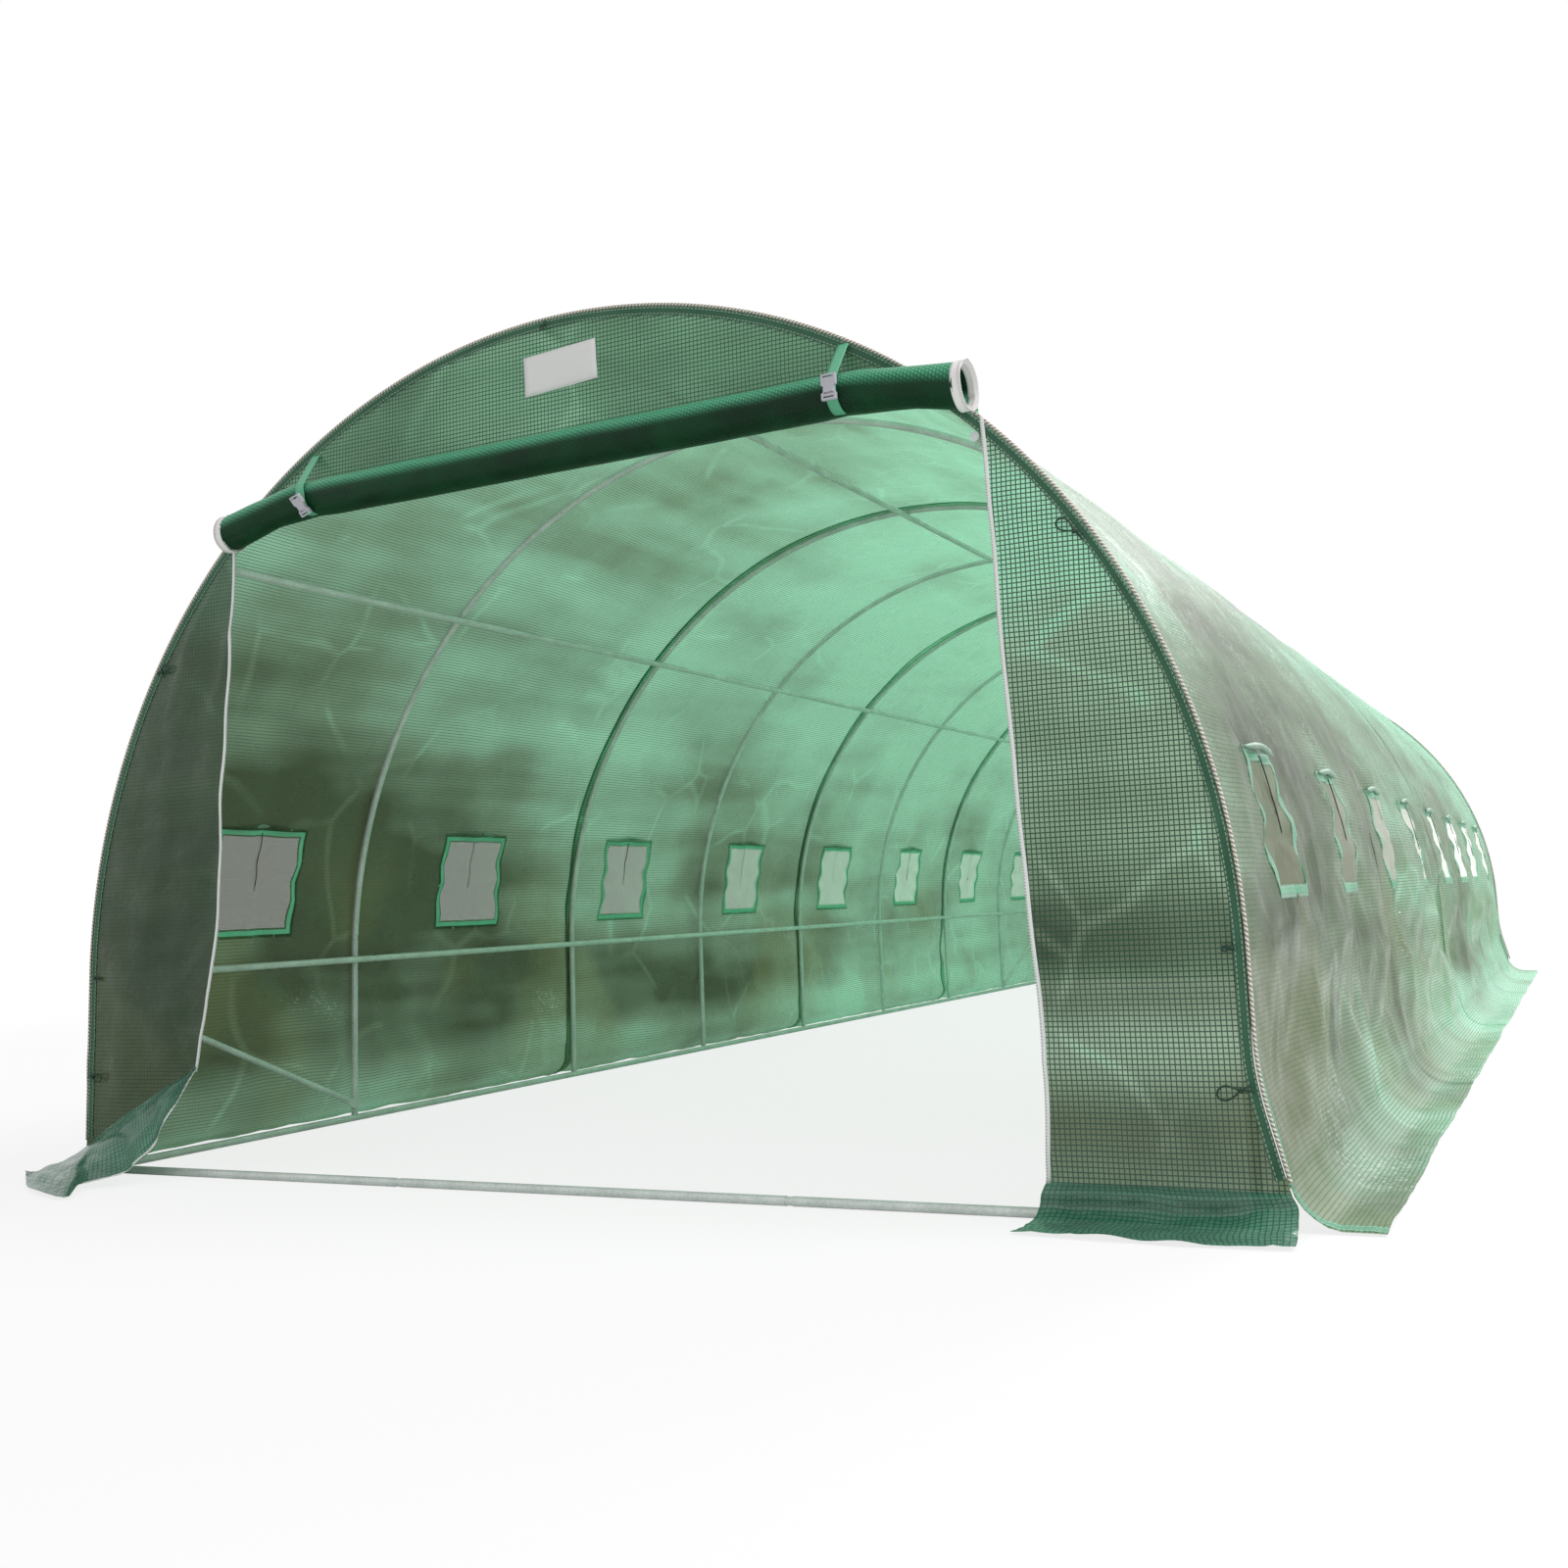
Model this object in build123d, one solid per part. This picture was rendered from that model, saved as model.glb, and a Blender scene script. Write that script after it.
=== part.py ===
from build123d import *
import os
from math import acos, atan2, cos, degrees, radians, sin, sqrt

# Walk-in polytunnel greenhouse. Millimetres, +Z up, the ground at z = 0.
# X runs across the tunnel and +Y from the front doorway to the rear wall.

# The tunnel
TUNNEL_LENGTH = 8000.0  # between the axes of the two end hoops
HALF_SPAN = 1500.0  # from the middle of the tunnel to the axis of a leg
LEG_HEIGHT = 500.0  # straight part of a leg, below the bend
HOOP_COUNT = 9
FIRST_BAY = 960.0  # the second hoop stands a little nearer to the front hoop
SECOND_BAY = 1190.0
SHOULDER_ANGLE = 45.0  # of the shoulder purlins, above the springing line

# Galvanised tubes
HOOP_TUBE = 20.0
PURLIN_TUBE = 20.0
GROUND_TUBE = 20.0
BRACE_TUBE = 18.0
SWAGE_DROP = 2.4  # how much thinner a swaged end is than its tube
SWAGE_NECK = 16.0  # length of the swaged end that stays in view
SWAGE_OFFSET = 60.0  # from a crossing to the next swaged end
FIT_GAP = 0.3  # clearance between round pieces that touch

# Diagonal braces in the end bays
BRACE_DROP = 48.0  # from the top of the end hoop's leg down to the bolt
BRACE_LOW = 45.0  # height of the bolt on the next hoop
BRACE_FLAT_LENGTH = 40.0  # from the bolt to where the tube starts to widen
BRACE_FLAT_END = 6.0  # past the bolt
BRACE_FLAT_WIDTH = 25.0
BRACE_FLAT_THICKNESS = 4.0
BRACE_TAPER = 34.0

# The ground bar across the doorway is pushed together from three tubes
BAR_JOINT_LEFT = -490.0
BAR_JOINT_RIGHT = 540.0

# The woven cover
COVER_SHEET = 3.0
SKIRT_REACH = 220.0  # from the leg's axis to the edge of the skirt on the ground
SKIRT_FLAT = 145.0  # part of the skirt that lies on the ground
SKIRT_BEND = 100.0
BULGE_TOP = 0.54 * LEG_HEIGHT  # height where the cover leaves the legs
BULGE_BEND = 600.0
SEAM_HOOPS = (3, 5, 7)  # hoops under the seams between two strips
PIPING = 8.0  # cord sewn into the seam between the cover and an end wall
EDGE_HEM_WIDTH = 34.0  # doubled edge of the cover behind the piping
EDGE_HEM_SHEET = 1.5

# Mesh windows
WINDOWS_PER_SIDE = 8
WINDOW_PITCH = (TUNNEL_LENGTH - 80.0) / WINDOWS_PER_SIDE
WINDOW_HEIGHT_MIDDLE = LEG_HEIGHT + 245.0
WINDOW_WIDTH = 285.0  # of the opening, along the tunnel
WINDOW_RISE = 270.0  # of the opening, upwards
HEM_WIDTH = 28.0
HEM_SHEET = 1.5
MESH_SHEET = 2.0
FLAP_ROLL = 26.0  # diameter of the rolled-up flap
FLAP_PAST_HEM = 4.5  # at each end of the rolled-up flap
CORD = 3.0
CORD_HEIGHTS = (148.0, 107.0, 63.0, 17.0, -23.0)  # above the middle of the window
CORD_SWAY = (0.0, 5.0, -4.0, 6.0, 1.0)

# End walls
DOOR_TOP = LEG_HEIGHT + 0.763 * HALF_SPAN
WALL_FOLD = 80.0  # height where an end wall turns into its skirt
END_SKIRT_BEND = 30.0
CORNER_REACH = 60.0  # from the leg's axis to the end wall's lower corner
ZIP_TAPE = 9.0
ZIP_THICKNESS = 2.5
RIGHT_SKIRT_REACH = 135.0
REAR_SKIRT_REACH = 235.0
LEFT_FLAP_REACH = 315.0

# Zip lines, as shares of HALF_SPAN across and of the doorway's height up from WALL_FOLD
LEFT_ZIP_SHARES = ((-0.675, 1.0), (-0.681, 0.684), (-0.7, 0.357), (-0.753, 0.102), (-0.81, 0.0))
RIGHT_ZIP_SHARES = ((0.703, 1.0), (0.718, 0.684), (0.732, 0.396), (0.743, 0.179), (0.738, 0.0))
REAR_ZIP_SHARE = 0.7

# Outline of the twisted left skirt, as places to the right and in front of the wall's lower corner
LEFT_FLAP_OUTLINE = ((206, 115), (270, 213), (375, LEFT_FLAP_REACH), (195, 262), (87, 209), (-97, 72))
LEFT_FLAP_HINGE = 60.0  # where the skirt's edge leaves the foot of the zip

# Rolled-up door
ROLL_DIAMETER = 90.0
ROLL_LEFT_INSET = 55.0  # from the top of the left zip to the end of the roll
ROLL_RIGHT_INSET = 12.0
ROLL_RISE = 27.0  # from the doorway's top to the middle of the roll
ROLL_DROOP_LEFT = 54.0  # of each end, past its strap
ROLL_DROOP_RIGHT = 35.0
ROLL_BEND = 250.0
ROLL_BEND_PLACE = 44.0  # from the middle of a strap to the bend
ROLL_END_LENGTH = 22.0
ROLL_END_DIAMETER = 108.0
ROLL_END_BORE = 72.0
STRAP_LEFT = -0.458 * HALF_SPAN
STRAP_RIGHT = 0.515 * HALF_SPAN
STRAP_WIDTH = 26.0
STRAP_SHEET = 2.0
STRAP_TOP = DOOR_TOP + 0.102 * HALF_SPAN

# Side-release buckle
BUCKLE_WIDTH = 34.0
BUCKLE_LENGTH = 56.0
BUCKLE_THICKNESS = 8.0
BUCKLE_SLOT = 4.0
BUCKLE_TURN_LEFT = -35.0  # in degrees round the roll, up from its foremost line
BUCKLE_TURN_RIGHT = 0.0
BUCKLE_TILT_LEFT = 14.0  # in degrees out of line with its strap

# Blank label on the gable
LABEL_WIDTH = 206.0
LABEL_HEIGHT = 98.0
LABEL_SHEET = 0.8
LABEL_X = 27.0
LABEL_DROP = 114.0  # from the top of the arch down to its middle
LABEL_TILT = -3.0

# Elastic ties round the front hoop, as places on the hoop and the legs
TIE_ANGLES = (33.0, 90.0, 148.0)
TIE_LEG_HEIGHTS = (245.0, LEG_HEIGHT)
TIE_LOOP = 13.0
TIE_CORD = 4.0
TIE_KNOT = 11.0

# Sizes that follow from the driving sizes
WALL_RADIUS = HALF_SPAN + HOOP_TUBE / 2 + FIT_GAP
OUTER_RADIUS = WALL_RADIUS + COVER_SHEET
HEM_RADIUS = OUTER_RADIUS + FIT_GAP
PIPING_RADIUS = OUTER_RADIUS + FIT_GAP + PIPING / 2
CROSSING = HOOP_TUBE / 2 + FIT_GAP + PURLIN_TUBE / 2
COVER_END = TUNNEL_LENGTH / 2 + HOOP_TUBE / 2 + FIT_GAP
FLAP_ROLL_LENGTH = WINDOW_WIDTH + 2 * (HEM_WIDTH + FLAP_PAST_HEM)
WALL_FACE = COVER_END + COVER_SHEET
OTHER_BAY = (TUNNEL_LENGTH - FIRST_BAY - SECOND_BAY) / (HOOP_COUNT - 3)
ARCH_MIDDLE = (0, LEG_HEIGHT)
BRACE_HIGH = LEG_HEIGHT - BRACE_DROP
ROLL_LEFT = HALF_SPAN * LEFT_ZIP_SHARES[0][0] + ROLL_LEFT_INSET
ROLL_RIGHT = HALF_SPAN * RIGHT_ZIP_SHARES[0][0] - ROLL_RIGHT_INSET
ROLL_MIDDLE_HEIGHT = DOOR_TOP + ROLL_RISE
REAR_ZIP = HALF_SPAN * REAR_ZIP_SHARE


def hoop_places() -> list[float]:
    """Where each hoop stands along the tunnel, from the front."""
    places = [-TUNNEL_LENGTH / 2, -TUNNEL_LENGTH / 2 + FIRST_BAY]
    places.append(places[-1] + SECOND_BAY)
    while len(places) < HOOP_COUNT:
        places.append(places[-1] + OTHER_BAY)
    return places


def save(name: str, shape) -> None:
    """Write one node, which is a solid or a list of solids that don't touch."""
    solids = []
    for piece in shape if isinstance(shape, list) else [shape]:
        solids += piece.solids()
    whole = solids[0] if len(solids) == 1 else Compound(children=solids)
    export_step(whole, f"parts/{name}.step")


def upright(sketch, y: float, depth: float):
    """Extrude a sketch drawn in X and Z, from y towards +Y."""
    return extrude(Plane((0, y, 0), x_dir=(1, 0, 0), z_dir=(0, -1, 0)) * sketch, amount=-depth)


def straight_tube(start: Vector, end: Vector, diameter: float):
    """A round bar between two points."""
    way = end - start
    bar = Cylinder(diameter / 2, way.length, align=(Align.CENTER, Align.CENTER, Align.MIN))
    return Plane(start, z_dir=way) * bar


def swaged_tube(start: Vector, end: Vector, diameter: float, joints: list[float]):
    """A run of tubes pushed into one another, thinner for a short way after each joint."""
    way = (end - start).normalized()
    pieces = []
    begin = 0.0
    for joint in joints:
        neck_end = joint + SWAGE_NECK
        pieces.append(straight_tube(start + way * begin, start + way * joint, diameter))
        pieces.append(straight_tube(start + way * joint, start + way * neck_end, diameter - SWAGE_DROP))
        begin = neck_end
    pieces.append(straight_tube(start + way * begin, end, diameter))
    return Part() + pieces


def bent_tube(y: float, first: float, last: float, diameter: float):
    """A tube bent round the middle of the arch, between two angles in degrees."""
    way = Vector(cos(radians(first)), 0, sin(radians(first)))
    middle = Vector(0, y, LEG_HEIGHT)
    across = Plane(middle + way * HALF_SPAN, x_dir=way, z_dir=(-way.Z, 0, way.X))
    section = across * Circle(diameter / 2)
    return revolve(section, axis=Axis(middle, (0, -1, 0)), revolution_arc=last - first)


def hoop(y: float):
    """Two legs and four bent tubes, swaged into one another past each crossing."""
    offset = degrees(SWAGE_OFFSET / HALF_SPAN)
    neck = degrees(SWAGE_NECK / HALF_SPAN)
    crossings = (0.0, SHOULDER_ANGLE, 90.0, 180.0 - SHOULDER_ANGLE)
    joints = [angle + offset for angle in crossings] + [180.0 - offset - neck]
    pieces = []
    for side in (-1, 1):
        foot = Vector(side * HALF_SPAN, y, 0)
        pieces.append(straight_tube(foot, foot + Vector(0, 0, LEG_HEIGHT), HOOP_TUBE))
    begin = 0.0
    for joint in joints:
        pieces.append(bent_tube(y, begin, joint, HOOP_TUBE))
        pieces.append(bent_tube(y, joint, joint + neck, HOOP_TUBE - SWAGE_DROP))
        begin = joint + neck
    pieces.append(bent_tube(y, begin, 180.0, HOOP_TUBE))
    return Part() + pieces


def purlin(x: float, z: float):
    """A run of tubes along the tunnel, inside the hoops, jointed past each hoop but the last."""
    reach = TUNNEL_LENGTH / 2 + HOOP_TUBE / 2
    joints = [place + SWAGE_OFFSET + reach for place in hoop_places()[1:-1]]
    return swaged_tube(Vector(x, -reach, z), Vector(x, reach, z), PURLIN_TUBE, joints)


def base_rail(side: int):
    """The run on the ground beside the legs, between the two ground bars."""
    x = side * (HALF_SPAN - HOOP_TUBE / 2 - FIT_GAP - GROUND_TUBE / 2)
    reach = TUNNEL_LENGTH / 2 - GROUND_TUBE / 2 - FIT_GAP
    joints = [place + SWAGE_OFFSET + reach for place in hoop_places()[1:-1]]
    height = GROUND_TUBE / 2
    return swaged_tube(Vector(x, -reach, height), Vector(x, reach, height), GROUND_TUBE, joints)


def ground_bar(y: float):
    """The bar on the ground between the two legs of an end hoop."""
    reach = HALF_SPAN - HOOP_TUBE / 2 - FIT_GAP
    joints = [BAR_JOINT_LEFT + reach, BAR_JOINT_RIGHT + reach]
    height = GROUND_TUBE / 2
    return swaged_tube(Vector(-reach, y, height), Vector(reach, y, height), GROUND_TUBE, joints)


def brace(side: int, high_y: float, low_y: float):
    """A diagonal tube with both ends flattened against the hoops."""
    seat = HALF_SPAN - HOOP_TUBE / 2 - FIT_GAP
    axis_x = side * (seat - BRACE_TUBE / 2)
    flat_x = side * (seat - BRACE_FLAT_THICKNESS / 2)
    high = Vector(axis_x, high_y, BRACE_HIGH)
    low = Vector(axis_x, low_y, BRACE_LOW)
    way = (low - high).normalized()
    inset = BRACE_FLAT_LENGTH + BRACE_TAPER
    pieces = [straight_tube(high + way * inset, low - way * inset, BRACE_TUBE)]
    for bolt, inward in ((high, way), (low, way * -1)):
        centre = Vector(flat_x, bolt.Y, bolt.Z)
        flat_end = centre + inward * BRACE_FLAT_LENGTH
        flat_middle = centre + inward * ((BRACE_FLAT_LENGTH - BRACE_FLAT_END) / 2)
        flat = Box(BRACE_FLAT_THICKNESS, BRACE_FLAT_WIDTH, BRACE_FLAT_LENGTH + BRACE_FLAT_END)
        flat = fillet(flat.edges().filter_by(Axis.X), BRACE_FLAT_WIDTH * 0.3)
        pieces.append(Plane(flat_middle, x_dir=(1, 0, 0), z_dir=inward) * flat)
        round_section = Plane(bolt + inward * inset, x_dir=(1, 0, 0), z_dir=inward) * Circle(BRACE_TUBE / 2)
        flat_section = Plane(flat_end - inward, x_dir=(1, 0, 0), z_dir=inward) * RectangleRounded(
            BRACE_FLAT_THICKNESS, BRACE_FLAT_WIDTH * 0.9, BRACE_FLAT_THICKNESS * 0.45
        )
        pieces.append(loft([flat_section, round_section]))
    return Part() + pieces


def cover_path() -> Wire:
    """The inner face of the cover across the tunnel, from the right skirt to the left one."""
    edge = HALF_SPAN + SKIRT_REACH
    bend = edge - SKIRT_FLAT
    foot = FilletPolyline(
        (edge, 0), (bend, 0), (WALL_RADIUS, BULGE_TOP), (WALL_RADIUS, LEG_HEIGHT), radius=[SKIRT_BEND, BULGE_BEND]
    )
    arch = CenterArc(ARCH_MIDDLE, WALL_RADIUS, 0, 180)
    other_foot = mirror(foot, about=Plane.YZ)
    return Wire(foot.edges() + arch.edges() + other_foot.edges())


def cover_section():
    """The cover's thickness, seen along the tunnel."""
    return make_face(cover_path().offset_2d(COVER_SHEET, side=Side.RIGHT, closed=True))


def window_block(width: float, rise: float, y: float):
    """A block through both long walls, as wide and high as a window."""
    middle = Pos(0, y, WINDOW_HEIGHT_MIDDLE)
    return middle * Box(2 * HALF_SPAN + 4 * SKIRT_REACH, width, rise)


def window_places() -> list[float]:
    """The middle of each window along the tunnel."""
    return [(i - (WINDOWS_PER_SIDE - 1) / 2) * WINDOW_PITCH for i in range(WINDOWS_PER_SIDE)]


def zip_line(shares: tuple) -> list[tuple]:
    """The points of a zip line in an end wall, from the top of the doorway down."""
    return [(HALF_SPAN * across, WALL_FOLD + (DOOR_TOP - WALL_FOLD) * up) for across, up in shares]


def cover_strip(start: float, end: float):
    """One strip of the cover, from skirt to skirt, with its window openings."""
    strip = upright(cover_section(), start, end - start)
    for y in window_places():
        if start - WINDOW_WIDTH / 2 < y < end + WINDOW_WIDTH / 2:
            strip -= window_block(WINDOW_WIDTH, WINDOW_RISE, y)
    return strip


def edge_hem(y: float):
    """The doubled edge of the cover, a band over its outside from skirt to skirt."""
    path = cover_path()
    outside = path.offset_2d(COVER_SHEET + FIT_GAP + EDGE_HEM_SHEET, side=Side.RIGHT, closed=True)
    covered = path.offset_2d(COVER_SHEET + FIT_GAP, side=Side.RIGHT, closed=True)
    return upright(make_face(outside) - make_face(covered), y, EDGE_HEM_WIDTH)


def edge_piping(y: float):
    """The piping in the seam between the cover and an end wall, round the middle y."""
    middle = cover_path().offset_2d(PIPING_RADIUS - WALL_RADIUS, side=Side.RIGHT, closed=False)
    path = Plane((0, y, 0), x_dir=(1, 0, 0), z_dir=(0, -1, 0)) * middle
    wire = Wire(path.edges())
    section = Plane(wire @ 0, z_dir=wire % 0) * Circle(PIPING / 2)
    above = Pos(0, y, WALL_FOLD) * Box(
        4 * HALF_SPAN, 4 * PIPING, 2 * HALF_SPAN, align=(Align.CENTER, Align.CENTER, Align.MIN)
    )
    return sweep(section, path=wire) & above


def wall_shell(radius: float, thickness: float, y: float, width: float):
    """A piece of the round wall of one side, as long as a window."""
    ring = Pos(*ARCH_MIDDLE) * (Circle(radius + thickness) - Circle(radius))
    side = Pos(HALF_SPAN, WINDOW_HEIGHT_MIDDLE) * Rectangle(2 * SKIRT_REACH, 2 * WINDOW_RISE)
    return upright(ring & side, y - width / 2, width)


def window_hem(y: float):
    """The sewn double edge round one window of the right side."""
    width = WINDOW_WIDTH + 2 * HEM_WIDTH
    band = wall_shell(HEM_RADIUS, HEM_SHEET, y, width) & window_block(width, WINDOW_RISE + 2 * HEM_WIDTH, y)
    return band - window_block(WINDOW_WIDTH, WINDOW_RISE, y)


def window_mesh(y: float):
    """The insect mesh in one window of the right side."""
    width = WINDOW_WIDTH - 2 * FIT_GAP
    panel = wall_shell(WALL_RADIUS + (COVER_SHEET - MESH_SHEET) / 2, MESH_SHEET, y, width)
    return panel & window_block(width, WINDOW_RISE - 2 * FIT_GAP, y)


def wall_point(away: float, y: float, z: float) -> Vector:
    """A point outside the right wall's hem at a height, this far from its face."""
    radius = HEM_RADIUS + HEM_SHEET + away
    return Vector(sqrt(radius**2 - (z - LEG_HEIGHT) ** 2), y, z)


def flap_roll(y: float):
    """The window's flap, rolled up over its top hem."""
    height = WINDOW_HEIGHT_MIDDLE + WINDOW_RISE / 2 + HEM_WIDTH
    start = wall_point(FIT_GAP + FLAP_ROLL / 2, y - FLAP_ROLL_LENGTH / 2, height)
    return straight_tube(start, start + Vector(0, FLAP_ROLL_LENGTH, 0), FLAP_ROLL)


def cord_points(y: float) -> list[Vector]:
    """The route of one window's tie cord, down from its rolled flap."""
    away = FIT_GAP + CORD / 2
    return [wall_point(away, y + sway, WINDOW_HEIGHT_MIDDLE + z) for z, sway in zip(CORD_HEIGHTS, CORD_SWAY)]


def corner_radii(points: list[Vector]) -> list[float]:
    """The radius of the arc at each corner of a cord's route."""
    radii = []
    for before, corner, after in zip(points, points[1:], points[2:]):
        first, second = corner - before, after - corner
        turn = radians(first.get_angle(second))
        shorter = min(first.length, second.length)
        radii.append(0.45 * shorter * cos(turn / 2) / sin(turn / 2))
    return radii


def window_cord(y: float):
    """A tie cord as a tube of straight runs and tangent arcs."""
    points = cord_points(y)
    path = FilletPolyline(*points, radius=corner_radii(points))
    section = Plane(points[0], z_dir=points[1] - points[0]) * Circle(CORD / 2)
    return sweep(section, path=path)


def wall_outline():
    """The whole end wall, seen along the tunnel."""
    edge = HALF_SPAN + SKIRT_REACH
    skin = cover_path().offset_2d(COVER_SHEET, side=Side.RIGHT, closed=False)
    close = Polyline((-edge, COVER_SHEET), (-edge, 0), (edge, 0), (edge, COVER_SHEET))
    whole = make_face(skin.edges() + close.edges())
    reach = HALF_SPAN + CORNER_REACH
    top = LEG_HEIGHT + OUTER_RADIUS
    return whole & (Pos(0, (top + WALL_FOLD) / 2) * Rectangle(2 * reach, top - WALL_FOLD + 1)) - (
        Pos(0, WALL_FOLD - 1) * Rectangle(2 * reach, 2)
    )


def beside_zip(line: list[tuple], far: float):
    """The part of an end wall between a zip and its outer edge, below the gable."""
    edge = Spline(*line) if len(line) > 2 else Line(*line)
    rest = Polyline(line[-1], (far, line[-1][1]), (far, line[0][1]), line[0])
    return make_face(edge.edges() + rest.edges())


def zip_tape(line: list[tuple], shift: tuple):
    """A band of zip tape beside a zip line, inside the wall's outline."""
    edge = Spline(*line) if len(line) > 2 else Line(*line)
    other = Pos(*shift) * edge
    top = Line(edge @ 0, other @ 0)
    bottom = Line(edge @ 1, other @ 1)
    band = make_face(edge.edges() + other.edges() + top.edges() + bottom.edges())
    return band & wall_outline()


def end_skirt(reach: float, left: float, right: float):
    """The foot of the front wall between two places, folded forward over the ground."""
    path = FilletPolyline((COVER_END, WALL_FOLD), (COVER_END, 0), (COVER_END + reach, 0), radius=END_SKIRT_BEND)
    section = make_face(Wire(path.edges()).offset_2d(COVER_SHEET, side=Side.LEFT, closed=True))
    placed = Plane((left, 0, 0), x_dir=(0, -1, 0), z_dir=(-1, 0, 0)) * section
    return extrude(placed, amount=left - right)


def left_flap():
    """The foot of the left panel, twisted out over the ground."""
    corner = -HALF_SPAN - CORNER_REACH
    zip_foot = HALF_SPAN * LEFT_ZIP_SHARES[-1][0]
    foot = end_skirt(LEFT_FLAP_REACH, corner - LEFT_FLAP_REACH, zip_foot)
    points = [(corner, -COVER_END), (zip_foot, -COVER_END)]
    points.append((zip_foot - LEFT_FLAP_HINGE, -WALL_FACE - LEFT_FLAP_HINGE))
    points += [(corner + across, -WALL_FACE - forward) for across, forward in LEFT_FLAP_OUTLINE]
    outline = Polyline(*points, close=True)
    return foot & extrude(make_face(outline), amount=WALL_FOLD)


def roll_path():
    """The middle of the rolled-up door, which droops past its straps."""
    y = roll_depth()
    inner_left = Vector(STRAP_LEFT - ROLL_BEND_PLACE, y, ROLL_MIDDLE_HEIGHT)
    inner_right = Vector(STRAP_RIGHT + ROLL_BEND_PLACE, y, ROLL_MIDDLE_HEIGHT)
    outer_left = Vector(ROLL_LEFT, y, ROLL_MIDDLE_HEIGHT - ROLL_DROOP_LEFT)
    outer_right = Vector(ROLL_RIGHT, y, ROLL_MIDDLE_HEIGHT - ROLL_DROOP_RIGHT)
    return FilletPolyline(outer_left, inner_left, inner_right, outer_right, radius=ROLL_BEND)


def roll_depth() -> float:
    """Where the middle of the roll is, in front of the gable."""
    return -WALL_FACE - FIT_GAP - ROLL_END_DIAMETER / 2


def door_roll():
    """The front door, rolled up to its top edge."""
    path = roll_path()
    section = Plane(path @ 0, z_dir=path % 0) * Circle(ROLL_DIAMETER / 2)
    return sweep(section, path=path)


def roll_ends():
    """The white zip tapes wound at both ends of the roll."""
    path = roll_path()
    rings = []
    for point, way in ((path @ 0, (path % 0) * -1), (path @ 1, path % 1)):
        ring = Circle(ROLL_END_DIAMETER / 2) - Circle(ROLL_END_BORE / 2)
        rings.append(extrude(Plane(point, z_dir=way) * ring, amount=ROLL_END_LENGTH))
    return rings


def tangent_place(outside: Vector, radius: float, turn: int) -> Vector:
    """Where a line from a point meets the roll, seen along the roll."""
    middle = Vector(0, roll_depth(), ROLL_MIDDLE_HEIGHT)
    away = Vector(0, outside.Y, outside.Z) - middle
    angle = atan2(away.Z, away.Y) + turn * acos(radius / away.length)
    return Vector(0, middle.Y + radius * cos(angle), middle.Z + radius * sin(angle))


def strap_seat() -> tuple:
    """The strap's inner face: its top, where it meets and leaves the roll, and its lower end."""
    radius = ROLL_DIAMETER / 2 + FIT_GAP
    front = -WALL_FACE - FIT_GAP
    top = Vector(0, front, STRAP_TOP)
    bottom = Vector(0, front, DOOR_TOP + HEM_WIDTH / 2)
    return top, tangent_place(top, radius, 1), tangent_place(bottom, radius, -1), bottom


def door_strap(x: float):
    """A webbing strap from the gable, round the front of the roll and back."""
    top, meets, leaves, bottom = strap_seat()
    middle = Vector(0, roll_depth(), ROLL_MIDDLE_HEIGHT)
    front = middle - Vector(0, ROLL_DIAMETER / 2 + FIT_GAP, 0)
    flat = [(-p.Y, p.Z) for p in (top, meets, front, leaves, bottom)]
    edges = Line(flat[0], flat[1]).edges() + ThreePointArc(flat[1], flat[2], flat[3]).edges()
    edges += Line(flat[3], flat[4]).edges()
    section = make_face(Wire(edges).offset_2d(STRAP_SHEET, side=Side.LEFT, closed=True))
    placed = Plane((x - STRAP_WIDTH / 2, 0, 0), x_dir=(0, -1, 0), z_dir=(-1, 0, 0)) * section
    wall = Pos(0, -WALL_FACE + 50, LEG_HEIGHT + HALF_SPAN) * Box(4 * HALF_SPAN, 100, 2 * HALF_SPAN)
    return extrude(placed, amount=-STRAP_WIDTH) - wall


def buckle(x: float, turn: float, tilt: float):
    """A side-release buckle on its strap in front of the roll, with both halves pushed together."""
    half = BUCKLE_WIDTH / 2
    body = Rectangle(BUCKLE_WIDTH, BUCKLE_LENGTH)
    notch = BUCKLE_WIDTH * 0.14
    for side in (-1, 1):
        body -= Pos(side * half, -BUCKLE_LENGTH * 0.08) * RectangleRounded(notch * 2, BUCKLE_LENGTH * 0.3, notch * 0.9)
    solid = extrude(body, amount=BUCKLE_THICKNESS)
    solid = fillet(solid.edges().filter_by(Axis.Z), 1.5)
    solid = fillet(solid.faces().sort_by(Axis.Z)[-1].edges(), 1.0)
    for end in (-1, 1):
        slot = Pos(0, end * (BUCKLE_LENGTH / 2 - 1.5 * BUCKLE_SLOT)) * Rectangle(BUCKLE_WIDTH * 0.7, BUCKLE_SLOT)
        solid -= extrude(slot, amount=BUCKLE_THICKNESS)
    gap = Pos(0, -BUCKLE_LENGTH * 0.24, BUCKLE_THICKNESS) * Box(BUCKLE_WIDTH * 0.62, BUCKLE_SLOT, BUCKLE_THICKNESS)
    out = Vector(0, -cos(radians(turn)), sin(radians(turn)))
    middle = Vector(x, roll_depth(), ROLL_MIDDLE_HEIGHT)
    seat = middle + out * (ROLL_DIAMETER / 2 + STRAP_SHEET + 2 * FIT_GAP)
    return Plane(seat, x_dir=(1, 0, 0), z_dir=out) * Rot(0, 0, tilt) * (solid - gap)


def label():
    """A blank white label sewn on the gable."""
    plate = Box(LABEL_WIDTH, LABEL_SHEET, LABEL_HEIGHT)
    height = LEG_HEIGHT + HALF_SPAN - LABEL_DROP
    return Pos(LABEL_X, -WALL_FACE - LABEL_SHEET / 2, height) * Rot(0, LABEL_TILT, 0) * plate


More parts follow.
